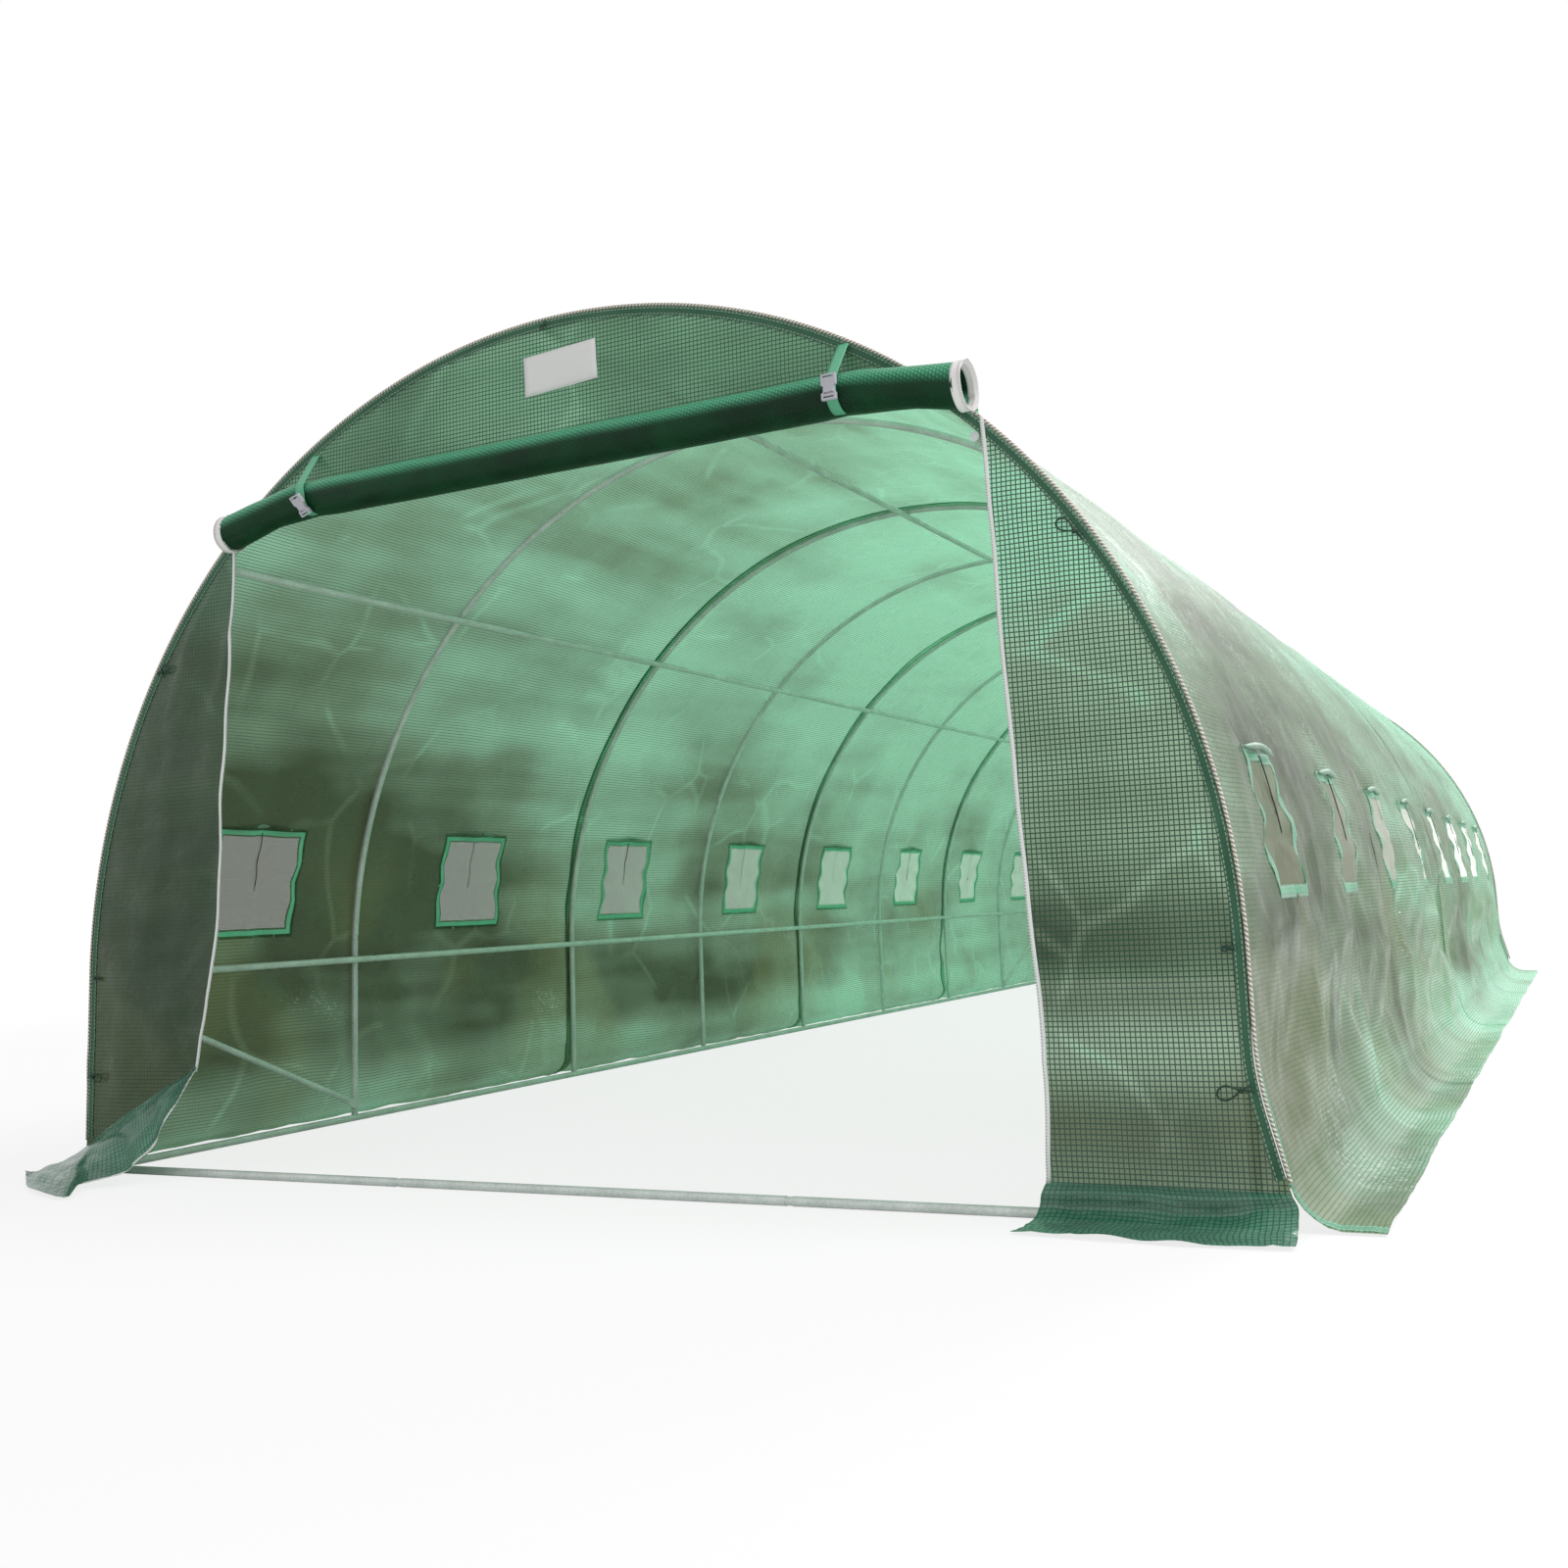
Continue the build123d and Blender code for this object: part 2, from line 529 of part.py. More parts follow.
def tie(x: float, z: float):
    """A short elastic loop and its knot, on the front wall."""
    y = -WALL_FACE - FIT_GAP - TIE_KNOT / 2
    loop = Torus(TIE_LOOP, TIE_CORD / 2)
    knot = Sphere(TIE_KNOT / 2)
    place = Plane((x, y, z), x_dir=(1, 0, 0), z_dir=(0, -1, 0))
    return place * (Pos(TIE_LOOP, 0, 0) * loop + knot)


def cover_ties():
    """The ties round the arch and both legs of the front hoop."""
    ties = []
    for angle in TIE_ANGLES:
        way = radians(angle)
        ties.append(tie(HALF_SPAN * cos(way), LEG_HEIGHT + HALF_SPAN * sin(way)))
    for height in TIE_LEG_HEIGHTS:
        ties += [tie(side * HALF_SPAN, height) for side in (-1, 1)]
    return ties


def save_frame() -> None:
    """Hoops, purlins, rails, bars and braces."""
    places = hoop_places()
    for number, y in enumerate(places, start=1):
        save(f"hoop_{number}", hoop(y))
    inner = HALF_SPAN - CROSSING
    shoulder = radians(SHOULDER_ANGLE)
    save("ridge_purlin", purlin(0, LEG_HEIGHT + inner))
    for name, side in (("left", -1), ("right", 1)):
        high = LEG_HEIGHT + inner * sin(shoulder)
        save(f"shoulder_purlin_{name}", purlin(side * inner * cos(shoulder), high))
        save(f"waist_purlin_{name}", purlin(side * inner, LEG_HEIGHT))
        save(f"base_rail_{name}", base_rail(side))
        front = brace(side, places[0], places[1])
        rear = brace(side, places[-1], places[-2])
        save(f"corner_braces_{name}", [front, rear])
    save("base_bar_front", ground_bar(places[0]))
    save("base_bar_rear", ground_bar(places[-1]))


def save_cover() -> None:
    """The four strips of the cover and everything on their windows."""
    places = hoop_places()
    seams = [-COVER_END] + [places[number - 1] for number in SEAM_HOOPS] + [COVER_END]
    for number, (start, end) in enumerate(zip(seams, seams[1:]), start=1):
        save(f"cover_strip_{number}", cover_strip(start, end))
    save("cover_hem_front", edge_hem(-WALL_FACE + PIPING + FIT_GAP))
    save("cover_hem_rear", edge_hem(WALL_FACE - PIPING - FIT_GAP - EDGE_HEM_WIDTH))
    save("front_piping", edge_piping(-WALL_FACE + PIPING / 2))
    save("rear_piping", edge_piping(WALL_FACE - PIPING / 2))
    makers = {"window_meshes": window_mesh, "window_hems": window_hem, "window_flaps": flap_roll}
    makers["window_cords"] = window_cord
    for name, make in makers.items():
        right = [make(y) for y in window_places()]
        save(f"{name}_right", right)
        save(f"{name}_left", [mirror(piece, about=Plane.YZ) for piece in right])


def save_front() -> None:
    """The front wall with its open doorway and rolled-up door."""
    far = HALF_SPAN + 2 * CORNER_REACH
    wall = upright(wall_outline(), -WALL_FACE, COVER_SHEET)
    above = Pos(0, DOOR_TOP + HALF_SPAN) * Rectangle(4 * HALF_SPAN, 2 * HALF_SPAN)
    save("front_gable", wall & upright(above, -WALL_FACE, COVER_SHEET))
    left_zip = zip_line(LEFT_ZIP_SHARES)
    right_zip = zip_line(RIGHT_ZIP_SHARES)
    save("front_panel_left", wall & upright(beside_zip(left_zip, -far), -WALL_FACE, COVER_SHEET))
    save("front_panel_right", wall & upright(beside_zip(right_zip, far), -WALL_FACE, COVER_SHEET))
    tape_y = -WALL_FACE - ZIP_THICKNESS
    save("front_zip_left", upright(zip_tape(left_zip, (-ZIP_TAPE, 2)), tape_y, ZIP_THICKNESS))
    save("front_zip_right", upright(zip_tape(right_zip, (ZIP_TAPE, 0)), tape_y, ZIP_THICKNESS))
    save("front_skirt_left", left_flap())
    save("front_skirt_right", end_skirt(RIGHT_SKIRT_REACH, right_zip[-1][0], HALF_SPAN + CORNER_REACH))
    save("door_roll", door_roll())
    save("door_roll_ends", roll_ends())
    save("door_straps", [door_strap(STRAP_LEFT), door_strap(STRAP_RIGHT)])
    left_buckle = buckle(STRAP_LEFT, BUCKLE_TURN_LEFT, BUCKLE_TILT_LEFT)
    save("strap_buckles", [left_buckle, buckle(STRAP_RIGHT, BUCKLE_TURN_RIGHT, 0.0)])
    save("gable_label", label())
    save("cover_ties", cover_ties())


def save_rear() -> None:
    """The rear wall, with its door zipped shut."""
    far = HALF_SPAN + 2 * CORNER_REACH
    left_zip = [(-REAR_ZIP, DOOR_TOP), (-REAR_ZIP, WALL_FOLD)]
    right_zip = [(REAR_ZIP, DOOR_TOP), (REAR_ZIP, WALL_FOLD)]
    wall = upright(wall_outline(), COVER_END, COVER_SHEET)
    above = Pos(0, DOOR_TOP + HALF_SPAN) * Rectangle(4 * HALF_SPAN, 2 * HALF_SPAN)
    save("rear_gable", wall & upright(above, COVER_END, COVER_SHEET))
    save("rear_panel_left", wall & upright(beside_zip(left_zip, -far), COVER_END, COVER_SHEET))
    save("rear_panel_right", wall & upright(beside_zip(right_zip, far), COVER_END, COVER_SHEET))
    door = Pos(0, (DOOR_TOP + WALL_FOLD) / 2) * Rectangle(2 * REAR_ZIP, DOOR_TOP - WALL_FOLD)
    save("rear_door", wall & upright(door, COVER_END, COVER_SHEET))
    tapes = [zip_tape(left_zip, (-ZIP_TAPE, 0)), zip_tape(right_zip, (ZIP_TAPE, 0))]
    save("rear_zips", [upright(tape, WALL_FACE, ZIP_THICKNESS) for tape in tapes])
    wall_reach = HALF_SPAN + CORNER_REACH
    save("rear_skirt", mirror(end_skirt(REAR_SKIRT_REACH, -wall_reach, wall_reach), about=Plane.XZ))


def main() -> None:
    """Write every node of the greenhouse."""
    os.makedirs("parts", exist_ok=True)
    save_frame()
    save_cover()
    save_front()
    save_rear()
    print("cord radii:", [round(radius, 1) for radius in corner_radii(cord_points(0))])


main()
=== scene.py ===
import logging
import random
from collections.abc import Callable, Iterator, Sequence
from contextlib import contextmanager
from dataclasses import dataclass, field
from enum import Enum
from math import acos, atan2, cos, pi, radians, sin, sqrt, tan

import bpy
import numpy as np
from mathutils import Matrix, Vector


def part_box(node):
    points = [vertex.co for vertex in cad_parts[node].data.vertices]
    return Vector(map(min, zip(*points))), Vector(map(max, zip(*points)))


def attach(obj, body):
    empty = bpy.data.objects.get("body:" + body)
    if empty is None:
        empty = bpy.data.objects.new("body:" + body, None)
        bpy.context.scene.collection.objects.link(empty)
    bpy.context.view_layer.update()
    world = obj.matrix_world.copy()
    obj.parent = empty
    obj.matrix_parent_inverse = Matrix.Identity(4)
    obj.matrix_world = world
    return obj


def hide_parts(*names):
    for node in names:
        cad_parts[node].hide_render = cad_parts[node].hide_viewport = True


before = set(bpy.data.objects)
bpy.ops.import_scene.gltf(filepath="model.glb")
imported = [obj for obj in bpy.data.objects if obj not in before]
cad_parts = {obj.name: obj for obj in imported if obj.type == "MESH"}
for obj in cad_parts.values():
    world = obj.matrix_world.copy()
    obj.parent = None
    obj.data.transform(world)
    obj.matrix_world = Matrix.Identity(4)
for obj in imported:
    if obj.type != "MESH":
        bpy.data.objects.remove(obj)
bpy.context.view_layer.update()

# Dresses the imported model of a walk-in polytunnel. Metres, +Z up, +Y from the doorway to the rear wall.
# The tubes keep their solids. Film, nets, tapes and cords are made here from their own cut sizes.

log = logging.getLogger("polytunnel")
Array = np.ndarray
Point = tuple[float, float, float]
Piece = bpy.types.Object
Material = bpy.types.Material
Socket = bpy.types.NodeSocket
Finishes = dict[str, Material]
Laid = tuple[Array, Array]  # points in space, and their places in the cloth
Place = Callable[[Array, Array], Laid]

COVER_GAP = 0.0003  # between a tube and the cover over it, and between touching cloths
GROUND_GAP = 0.0012  # from the ground to the middle of the film that lies on it
TAPE_THICKNESS = 0.0014
GABLE_GAP = 0.004  # between a gable's lower corner and the cover
WELD = 1e-5  # points nearer than this are one
WHITE = (1, 1, 1, 1)


class Side(Enum):
    """The two long sides of the tunnel, by the sign of X."""

    LEFT = -1
    RIGHT = 1

    @property
    def word(self) -> str:
        """The side's name, as in the pieces' names."""
        return self.name.lower()


def linear(hex_text: str, alpha: float = 1.0) -> tuple[float, float, float, float]:
    """Turn an sRGB hex colour into Blender's linear one.

    Args:
        hex_text: six hex digits with a leading #
        alpha: the fourth value

    Returns:
        red, green, blue and alpha
    """
    parts = [int(hex_text[i : i + 2], 16) / 255 for i in (1, 3, 5)]
    values = [c / 12.92 if c <= 0.04045 else ((c + 0.055) / 1.055) ** 2.4 for c in parts]
    return values[0], values[1], values[2], alpha


class Graph:
    """The shader nodes of one material or of the world, added one at a time."""

    def __init__(self, owner: Material | bpy.types.World) -> None:
        """Empty the owner's node tree."""
        owner.use_nodes = True
        self.owner = owner
        self.tree = owner.node_tree
        self.tree.nodes.clear()

    @classmethod
    def named(cls, name: str) -> "Graph":
        """The nodes of a new material."""
        return cls(bpy.data.materials.new(name))

    def add(self, kind: str, values: dict | None = None) -> bpy.types.Node:
        """Add one node with its settings and links.

        Args:
            kind: Blender's name for the node, without ShaderNode
            values: properties by name, and inputs by name or number. An input takes a value, a hex colour or a socket.

        Returns:
            the new node
        """
        node = self.tree.nodes.new(f"ShaderNode{kind}")
        for key, value in (values or {}).items():
            if isinstance(key, str) and hasattr(node, key):
                setattr(node, key, value)
            elif isinstance(value, Socket):
                self.tree.links.new(value, node.inputs[key])
            else:
                node.inputs[key].default_value = linear(value) if isinstance(value, str) else value
        return node

    def cloth(self) -> Socket:
        """Places in the cloth, in metres."""
        return self.add("UVMap").outputs[0]

    def where(self, kind: str = "Object") -> Socket:
        """Places in the object, or the way that its skin faces."""
        return self.add("TexCoord").outputs[kind]

    def split(self, source: Socket) -> Sequence[Socket]:
        """The three parts of a vector."""
        return self.add("SeparateXYZ", {0: source}).outputs

    def math(self, operation: str, *values: Socket | float, clamp: bool = False) -> Socket:
        """One step of arithmetic."""
        return self.add("Math", {"operation": operation, "use_clamp": clamp, **dict(enumerate(values))}).outputs[0]

    def ranged(
        self, value: Socket, low: float, high: float, start: float = 0.0, end: float = 1.0, smooth: bool = False
    ) -> Socket:
        """Carry a value from one range over to another.

        Args:
            value: the value to carry over
            low: where the first range begins
            high: where it ends
            start: where the second range begins
            end: where it ends
            smooth: ease in and out

        Returns:
            the new value
        """
        kind = "SMOOTHSTEP" if smooth else "LINEAR"
        values = {"interpolation_type": kind, 0: value, 1: low, 2: high, 3: start, 4: end}
        return self.add("MapRange", values).outputs[0]

    def mixed(self, share: Socket, low: Socket | str, high: Socket | str) -> Socket:
        """Mix two colours by a share."""
        return self.add("Mix", {"data_type": "RGBA", 0: share, 6: low, 7: high}).outputs[2]

    def noise(self, place: Socket, scale: float, **settings: float) -> Socket:
        """Cloudy noise, about 0.5 on average."""
        values = {key.capitalize(): value for key, value in settings.items()}
        return self.add("TexNoise", {"Vector": place, "Scale": scale, **values}).outputs[0]

    def ramp(self, place: Socket, stops: Sequence[tuple[float, tuple]], kind: str = "LINEAR") -> Socket:
        """Read a colour off a ramp.

        Args:
            place: where on the ramp to read
            stops: a place and a colour each, in rising order
            kind: how the ramp runs from stop to stop

        Returns:
            the colour
        """
        node = self.add("ValToRGB", {0: place})
        node.color_ramp.interpolation = kind
        elements = node.color_ramp.elements
        for _ in stops[2:]:
            elements.new(1.0)
        for element, (position, colour) in zip(elements, stops):
            element.position = position
            element.color = colour
        return node.outputs[0]

    def bump(self, height: Socket, strength: float, distance: float) -> Socket:
        """A skin raised by a height."""
        return self.add("Bump", {"Height": height, "Strength": strength, "Distance": distance}).outputs[0]

    def skin(self, colour: Socket, roughness: Socket | float, **inputs: Socket | float) -> bpy.types.Node:
        """A solid surface."""
        values = {key.replace("_", " "): value for key, value in inputs.items()}
        return self.add("BsdfPrincipled", {"Base Color": colour, "Roughness": roughness, **values})

    def blend(self, share: Socket | float, first: bpy.types.Node, second: bpy.types.Node) -> bpy.types.Node:
        """Mix two surfaces by the second one's share."""
        return self.add("MixShader", {0: share, 1: first.outputs[0], 2: second.outputs[0]})

    def finish(self, shader: bpy.types.Node, kind: str = "Material") -> Material | bpy.types.World:
        """Show the shader on the owner."""
        self.add(f"Output{kind}", {0: shader.outputs[0]})
        return self.owner


def deselect() -> None:
    """Leave nothing selected, because operators act on all that is."""
    bpy.ops.object.select_all(action="DESELECT")


@contextmanager
def editing() -> Iterator[None]:
    """Edit the active piece for as long as the block runs."""
    bpy.ops.object.mode_set(mode="EDIT")
    yield
    bpy.ops.object.mode_set(mode="OBJECT")


def stacked(*columns: Array) -> Array:
    """Set lists of numbers side by side, one point or place to a row."""
    return np.column_stack(columns)


def run_along(points: Array) -> Array:
    """How far along a line of points each one lies."""
    return np.concatenate(([0], np.cumsum(np.hypot.reduce(np.diff(points, axis=0), axis=1))))


def grid_lines(breaks: Sequence[float], step: float) -> Array:
    """Grid lines through all the breaks, no further apart than a step.

    Args:
        breaks: places that need a line, in rising order
        step: the widest gap between two lines

    Returns:
        the lines' places
    """
    lines = [breaks[0]]
    for low, high in zip(breaks, breaks[1:]):
        count = max(1, round((high - low) / step))
        lines += [low + (high - low) * (i + 1) / count for i in range(count)]
    return np.array(lines)


def cloth_grid(
    name: str, across: Array, along: Array, place: Place, hole: Callable | None = None, closed: bool = False
) -> Piece:
    """Lay a grid of cloth over a shape, with its UV map in metres of cloth.

    Args:
        name: the new piece's name
        across: grid lines over the cloth's width
        along: grid lines over its length
        place: turns places in the cloth into points and UV places
        hole: picks the faces to cut away, from the place of their middle in the cloth
        closed: weld the edges that meet, as on a tube

    Returns:
        the new piece
    """
    deselect()
    columns, rows = len(across) - 1, len(along) - 1
    bpy.ops.mesh.primitive_grid_add(x_subdivisions=columns, y_subdivisions=rows, size=1)
    piece = bpy.context.object
    piece.name = piece.data.name = name
    mesh = piece.data
    flat = np.empty(len(mesh.vertices) * 3)
    mesh.vertices.foreach_get("co", flat)
    flat = flat.reshape(-1, 3)
    u = across[np.rint((flat[:, 0] + 0.5) * columns).astype(int)]
    v = along[np.rint((flat[:, 1] + 0.5) * rows).astype(int)]
    points, cloth = place(u, v)
    mesh.vertices.foreach_set("co", np.ascontiguousarray(points, dtype=float).ravel())
    corners = np.empty(len(mesh.loops), dtype=int)
    mesh.loops.foreach_get("vertex_index", corners)
    mesh.uv_layers.active.data.foreach_set("uv", cloth[corners].ravel())
    mesh.update()
    if hole is not None:
        middle = stacked(u, v)[corners].reshape(-1, 4, 2).mean(axis=1)
        cut_faces(piece, hole(middle[:, 0], middle[:, 1]))
    if closed:
        with editing():
            bpy.ops.mesh.select_all(action="SELECT")
            bpy.ops.mesh.remove_doubles(threshold=WELD)
    bpy.ops.object.shade_smooth()
    return piece


def cut_faces(piece: Piece, chosen: Array) -> None:
    """Cut the chosen faces out of the active piece."""
    with editing():
        bpy.ops.mesh.select_mode(type="FACE")
        bpy.ops.mesh.select_all(action="DESELECT")
    piece.data.polygons.foreach_set("select", chosen)
    with editing():
        bpy.ops.mesh.delete(type="FACE")


def thicken(piece: Piece, thickness: float) -> None:
    """Give a sheet its thickness, towards its outer side."""
    deselect()
    piece.select_set(True)
    bpy.context.view_layer.objects.active = piece
    solidify = piece.modifiers.new("thickness", "SOLIDIFY")
    solidify.thickness = thickness
    solidify.offset = 1.0
    bpy.ops.object.modifier_apply(modifier=solidify.name)


def dress(piece: Piece, material: Material, slot: str, *nodes: str) -> Piece:
    """Give a piece its material and its body, and hide the nodes that it stands for."""
    piece.data.materials.clear()
    piece.data.materials.append(material)
    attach(piece, "root")
    if nodes:
        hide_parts(*nodes)
    return piece


def ripples(first: Array, second: Array, size: float, seed: int, waves: int = 5) -> Array:
    """Soft uneven waves over a sheet, from about -1 to 1.

    Args:
        first: places across the sheet
        second: places along it
        size: the usual length of a wave
        seed: picks the pattern
        waves: how many plain waves make it up

    Returns:
        the height at each place
    """
    draw = random.Random(seed)
    total = np.zeros_like(first)
    for _ in range(waves):
        turn = draw.uniform(0, pi)
        length = size * draw.uniform(0.65, 1.6)
        phase = draw.uniform(0, 2 * pi)
        total += np.sin(2 * pi * (first * cos(turn) + second * sin(turn)) / length + phase)
    return total / sqrt(waves)


def creases(first: Array, second: Array, turn: float, gap: float, seed: int) -> Array:
    """Sharp uneven folds that run one way over a sheet, from 0 in the flats to 1 on a fold.

    Args:
        first: places across the sheet
        second: places along it
        turn: the way that the folds run, in degrees from the first axis
        gap: from one fold to the next
        seed: picks the pattern

    Returns:
        the height at each place
    """
    way = radians(turn)
    side = -first * sin(way) + second * cos(way)
    along = first * cos(way) + second * sin(way)
    bent = side + 0.35 * gap * ripples(along, side, gap * 5, seed)
    bent = bent + 0.2 * gap * ripples(along, side, gap * 2, seed + 1)
    ridge = (1 - np.abs(np.sin(pi * bent / gap))) ** 2.2
    return ridge * np.clip(0.5 + 0.6 * ripples(along, side, gap * 4, seed + 2), 0, 1)


def smooth_between(value: Array, low: float, high: float) -> Array:
    """0 below low, 1 above high and smooth between them."""
    share = np.clip((value - low) / (high - low), 0, 1)
    return share * share * (3 - 2 * share)


def rounded(points: Sequence[tuple[float, float]], radii: Sequence[float]) -> list[tuple[float, float]]:
    """A line of straight runs with a round arc at each inner corner.

    Args:
        points: the corners and both ends
        radii: the radius at each inner corner

    Returns:
        points along the runs and arcs
    """
    path = [points[0]]
    for before, corner, after, radius in zip(points, points[1:], points[2:], radii):
        back = Vector(before) - Vector(corner)
        forth = Vector(after) - Vector(corner)
        back.normalize()
        forth.normalize()
        half = acos(max(-1.0, min(1.0, back.dot(forth)))) / 2
        middle = Vector(corner) + (back + forth).normalized() * (radius / sin(half))
        start = Vector(corner) + back * (radius / tan(half)) - middle
        end = Vector(corner) + forth * (radius / tan(half)) - middle
        for step in range(13):
            ray = start.lerp(end, step / 12)
            point = middle + ray.normalized() * radius
            path.append((point.x, point.y))
    return [*path, points[-1]]


def through(points: Array, place: Array) -> Array:
    """Places on a smooth line through control points.

    Args:
        points: the control points, one in each row
        place: positions along the line, counted in control points

    Returns:
        one point for each position
    """
    padded = np.vstack((2 * points[0] - points[1], points, 2 * points[-1] - points[-2]))
    index = np.clip(np.floor(place).astype(int), 0, len(points) - 2)
    t = (place - index)[:, None]
    a, b, c, d = (padded[index + k] for k in range(4))
    return 0.5 * (2 * b + (c - a) * t + (2 * a - 5 * b + 4 * c - d) * t**2 + (3 * b - a - 3 * c + d) * t**3)


@dataclass(frozen=True)
class WovenFilm:
    """Clear green polyethylene film laminated over an open scrim of darker threads.

    The eye sees a grid of dark squares, cloudy patches from olive to pale mint, painted highlights as soft light lines
    along the creases where the film was folded in its carton, and small bright sparks painted on its crumpled skin.
    """

    TONE_PLACES = (0.0, 0.36, 0.7, 1.0)  # how pale the film is where it shows each tone
    OCHRE = "#8f9660"
    # Colour of the painted highlights: sparks painted into the film's colour.
    PAINTED_SPARK = "#eef8f3"

    name: str
    tones: tuple[str, str, str, str]  # from the dullest patches to the palest
    thread: str
    glow: str  # colour of the light that comes through
    glow_share: float
    hides: tuple[float, float]  # how much a cell hides, in dull and in pale patches
    base: float  # paleness near the ground at the doorway, from 0 to 1
    rise: float = 0.3  # painted light: how much paler it gets up to the roof
    depth: float = 0.0  # painted light: how much paler it gets towards the rear wall
    clouds: float = 0.3
    streaks: float = 0.16
    ochre: float = 0.0  # strength of the warm patches near the ground
    # Strength of the painted highlights: bright sparks painted on skin that faces the sky.
    painted_glints: float = 0.0
    painted_light_bands: tuple[tuple[float, float], ...] = ()  # painted light and shade added at heights, in rising order, where folds lie across
    threads: tuple[float, float] = (1.0, 1.0)  # strength of the upright threads and of the level ones
    thread_width: float = 0.0022
    pitch: float = 0.010  # threads stand 8 mm apart, drawn at 10 mm so that they show
    roughness: float = 0.3
    crumple: float = 0.5

    def scrim(self, graph: Graph) -> Socket:
        """Threads both ways: 1 on a thread and 0 in a cell."""
        lines = []
        for way, strength in zip(graph.split(graph.cloth()), self.threads):
            wave = graph.math("PINGPONG", way, self.pitch / 2)
            lines.append(graph.ranged(wave, self.thread_width * 0.35, self.thread_width * 0.75, strength, 0.0, True))
        return graph.math("MAXIMUM", *lines)

    def folds(self, graph: Graph) -> tuple[Socket, Socket]:
        """Soft slanting streaks, and sharp creases with gaps in them, which are drawn as painted highlights.

        Args:
            graph: the material's nodes

        Returns:
            the streaks from -1 to 1, and the painted crease highlights from 0 to 1
        """
        where = graph.where()
        turned = {"Vector": graph.cloth(), "Rotation": (0, 0, radians(52)), "Scale": (0.5, 3.2, 1.0)}
        soft = graph.noise(graph.add("Mapping", turned).outputs[0], 1.5, detail=2.0)
        wander = graph.add("TexNoise", {"Vector": where, "Scale": 1.7}).outputs[1]
        bent = graph.add("VectorMath", {"operation": "MULTIPLY_ADD", 0: wander, 1: (0.22, 0.22, 0.22), 2: where})
        plates = graph.add("TexVoronoi", {"feature": "DISTANCE_TO_EDGE", "Vector": bent.outputs[0], "Scale": 2.6})
        edge = graph.ranged(plates.outputs[0], 0.0, 0.05, 1.0, 0.0, True)
        gaps = graph.ranged(graph.noise(where, 3.1), 0.46, 0.6, smooth=True)
        return graph.ranged(soft, 0.32, 0.68, -1.0, 1.0), graph.math("MULTIPLY", edge, gaps)

    def paleness(self, graph: Graph, streaks: Socket) -> tuple[Socket, Socket]:
        """How pale the film is, with its painted light, and how ochre.

        Args:
            graph: the material's nodes
            streaks: slanting streaks from -1 to 1

        Returns:
            both from 0 to 1
        """
        where = graph.where()
        _, inward, height = graph.split(where)
        patches = graph.ranged(graph.noise(where, 0.95, detail=3.0, roughness=0.55), 0.34, 0.66, -1.0, 1.0)
        # Painted light: paler up towards the roof and towards the rear wall.
        total = graph.math("MULTIPLY_ADD", graph.ranged(height, 0.3, 1.75, smooth=True), self.rise, self.base)
        total = graph.math("MULTIPLY_ADD", graph.ranged(inward, -3.4, 2.2, smooth=True), self.depth, total)
        total = graph.math("MULTIPLY_ADD", patches, self.clouds, total)
        # Painted light and shade in level stripes at the heights where folds lie across.
        if self.painted_light_bands:
            # A ramp holds heights up to 2 m, and amounts from -0.5 to 0.5, both as shares.
            stops = [(level / 2, (added + 0.5, added + 0.5, added + 0.5, 1.0)) for level, added in self.painted_light_bands]
            added = graph.ramp(graph.math("MULTIPLY", height, 0.5), stops, "EASE")
            total = graph.math("ADD", total, graph.math("SUBTRACT", added, 0.5))
        total = graph.math("MULTIPLY_ADD", streaks, self.streaks, total, clamp=True)
        warm = graph.ranged(graph.noise(where, 1.6, detail=1.0), 0.5, 0.64, smooth=True)
        low = graph.ranged(height, 0.45, 1.0, self.ochre, 0.0, True)
        return total, graph.math("MULTIPLY", warm, low)

    def painted_sparks(self, graph: Graph) -> Socket:
        """Painted highlights: small bright sparks painted on skin that faces the sky, in a few shiny patches."""
        where = graph.where()
        sparks = graph.ranged(graph.noise(where, 80.0, detail=1.0), 0.56, 0.66)
        skyward = graph.ranged(graph.split(graph.where("Normal"))[2], 0.05, 0.5, smooth=True)
        shiny = graph.ranged(graph.noise(where, 1.9, detail=1.0), 0.52, 0.62, 0.0, self.painted_glints, True)
        return graph.math("MULTIPLY", graph.math("MULTIPLY", sparks, skyward), shiny)

    def material(self) -> Material:
        """Mix the film with its scrim, patches, painted crease highlights, painted sparks and glow.

        Returns:
            the material
        """
        graph = Graph.named(self.name)
        drawn = self.scrim(graph)
        streaks, crease_highlight = self.folds(graph)
        pale, warm = self.paleness(graph, streaks)
        # Painted highlights: the crease lines are made paler in the colour.
        lighter = graph.math("MULTIPLY_ADD", crease_highlight, 0.2, pale, clamp=True)
        tones = [(place, linear(tone)) for place, tone in zip(self.TONE_PLACES, self.tones)]
        body = graph.mixed(warm, graph.ramp(lighter, tones), self.OCHRE)
        # Painted highlights: bright sparks mixed into the colour.
        body = graph.mixed(self.painted_sparks(graph), body, self.PAINTED_SPARK)
        fine = graph.noise(graph.where(), 15.0, detail=2.0, roughness=0.5)
        relief = graph.math("MULTIPLY_ADD", streaks, 0.5, fine)
        relief = graph.bump(graph.math("MULTIPLY_ADD", drawn, 0.1, relief), self.crumple, 0.016)
        film = graph.skin(
            graph.mixed(drawn, body, self.thread),
            graph.ranged(fine, 0.3, 0.7, self.roughness - 0.08, self.roughness + 0.14),
            Alpha=graph.math("MAXIMUM", graph.ranged(pale, 0.0, 1.0, *self.hides), drawn),
            Normal=relief,
            IOR=1.45,
            Coat_Weight=0.25,
            Coat_Roughness=0.12,
        )
        tinted = graph.mixed(graph.math("MULTIPLY", pale, 0.85), body, self.glow)
        lit = graph.add("BsdfTranslucent", {"Color": graph.mixed(drawn, tinted, self.thread), "Normal": relief})
        return graph.finish(graph.blend(self.glow_share, film, lit))


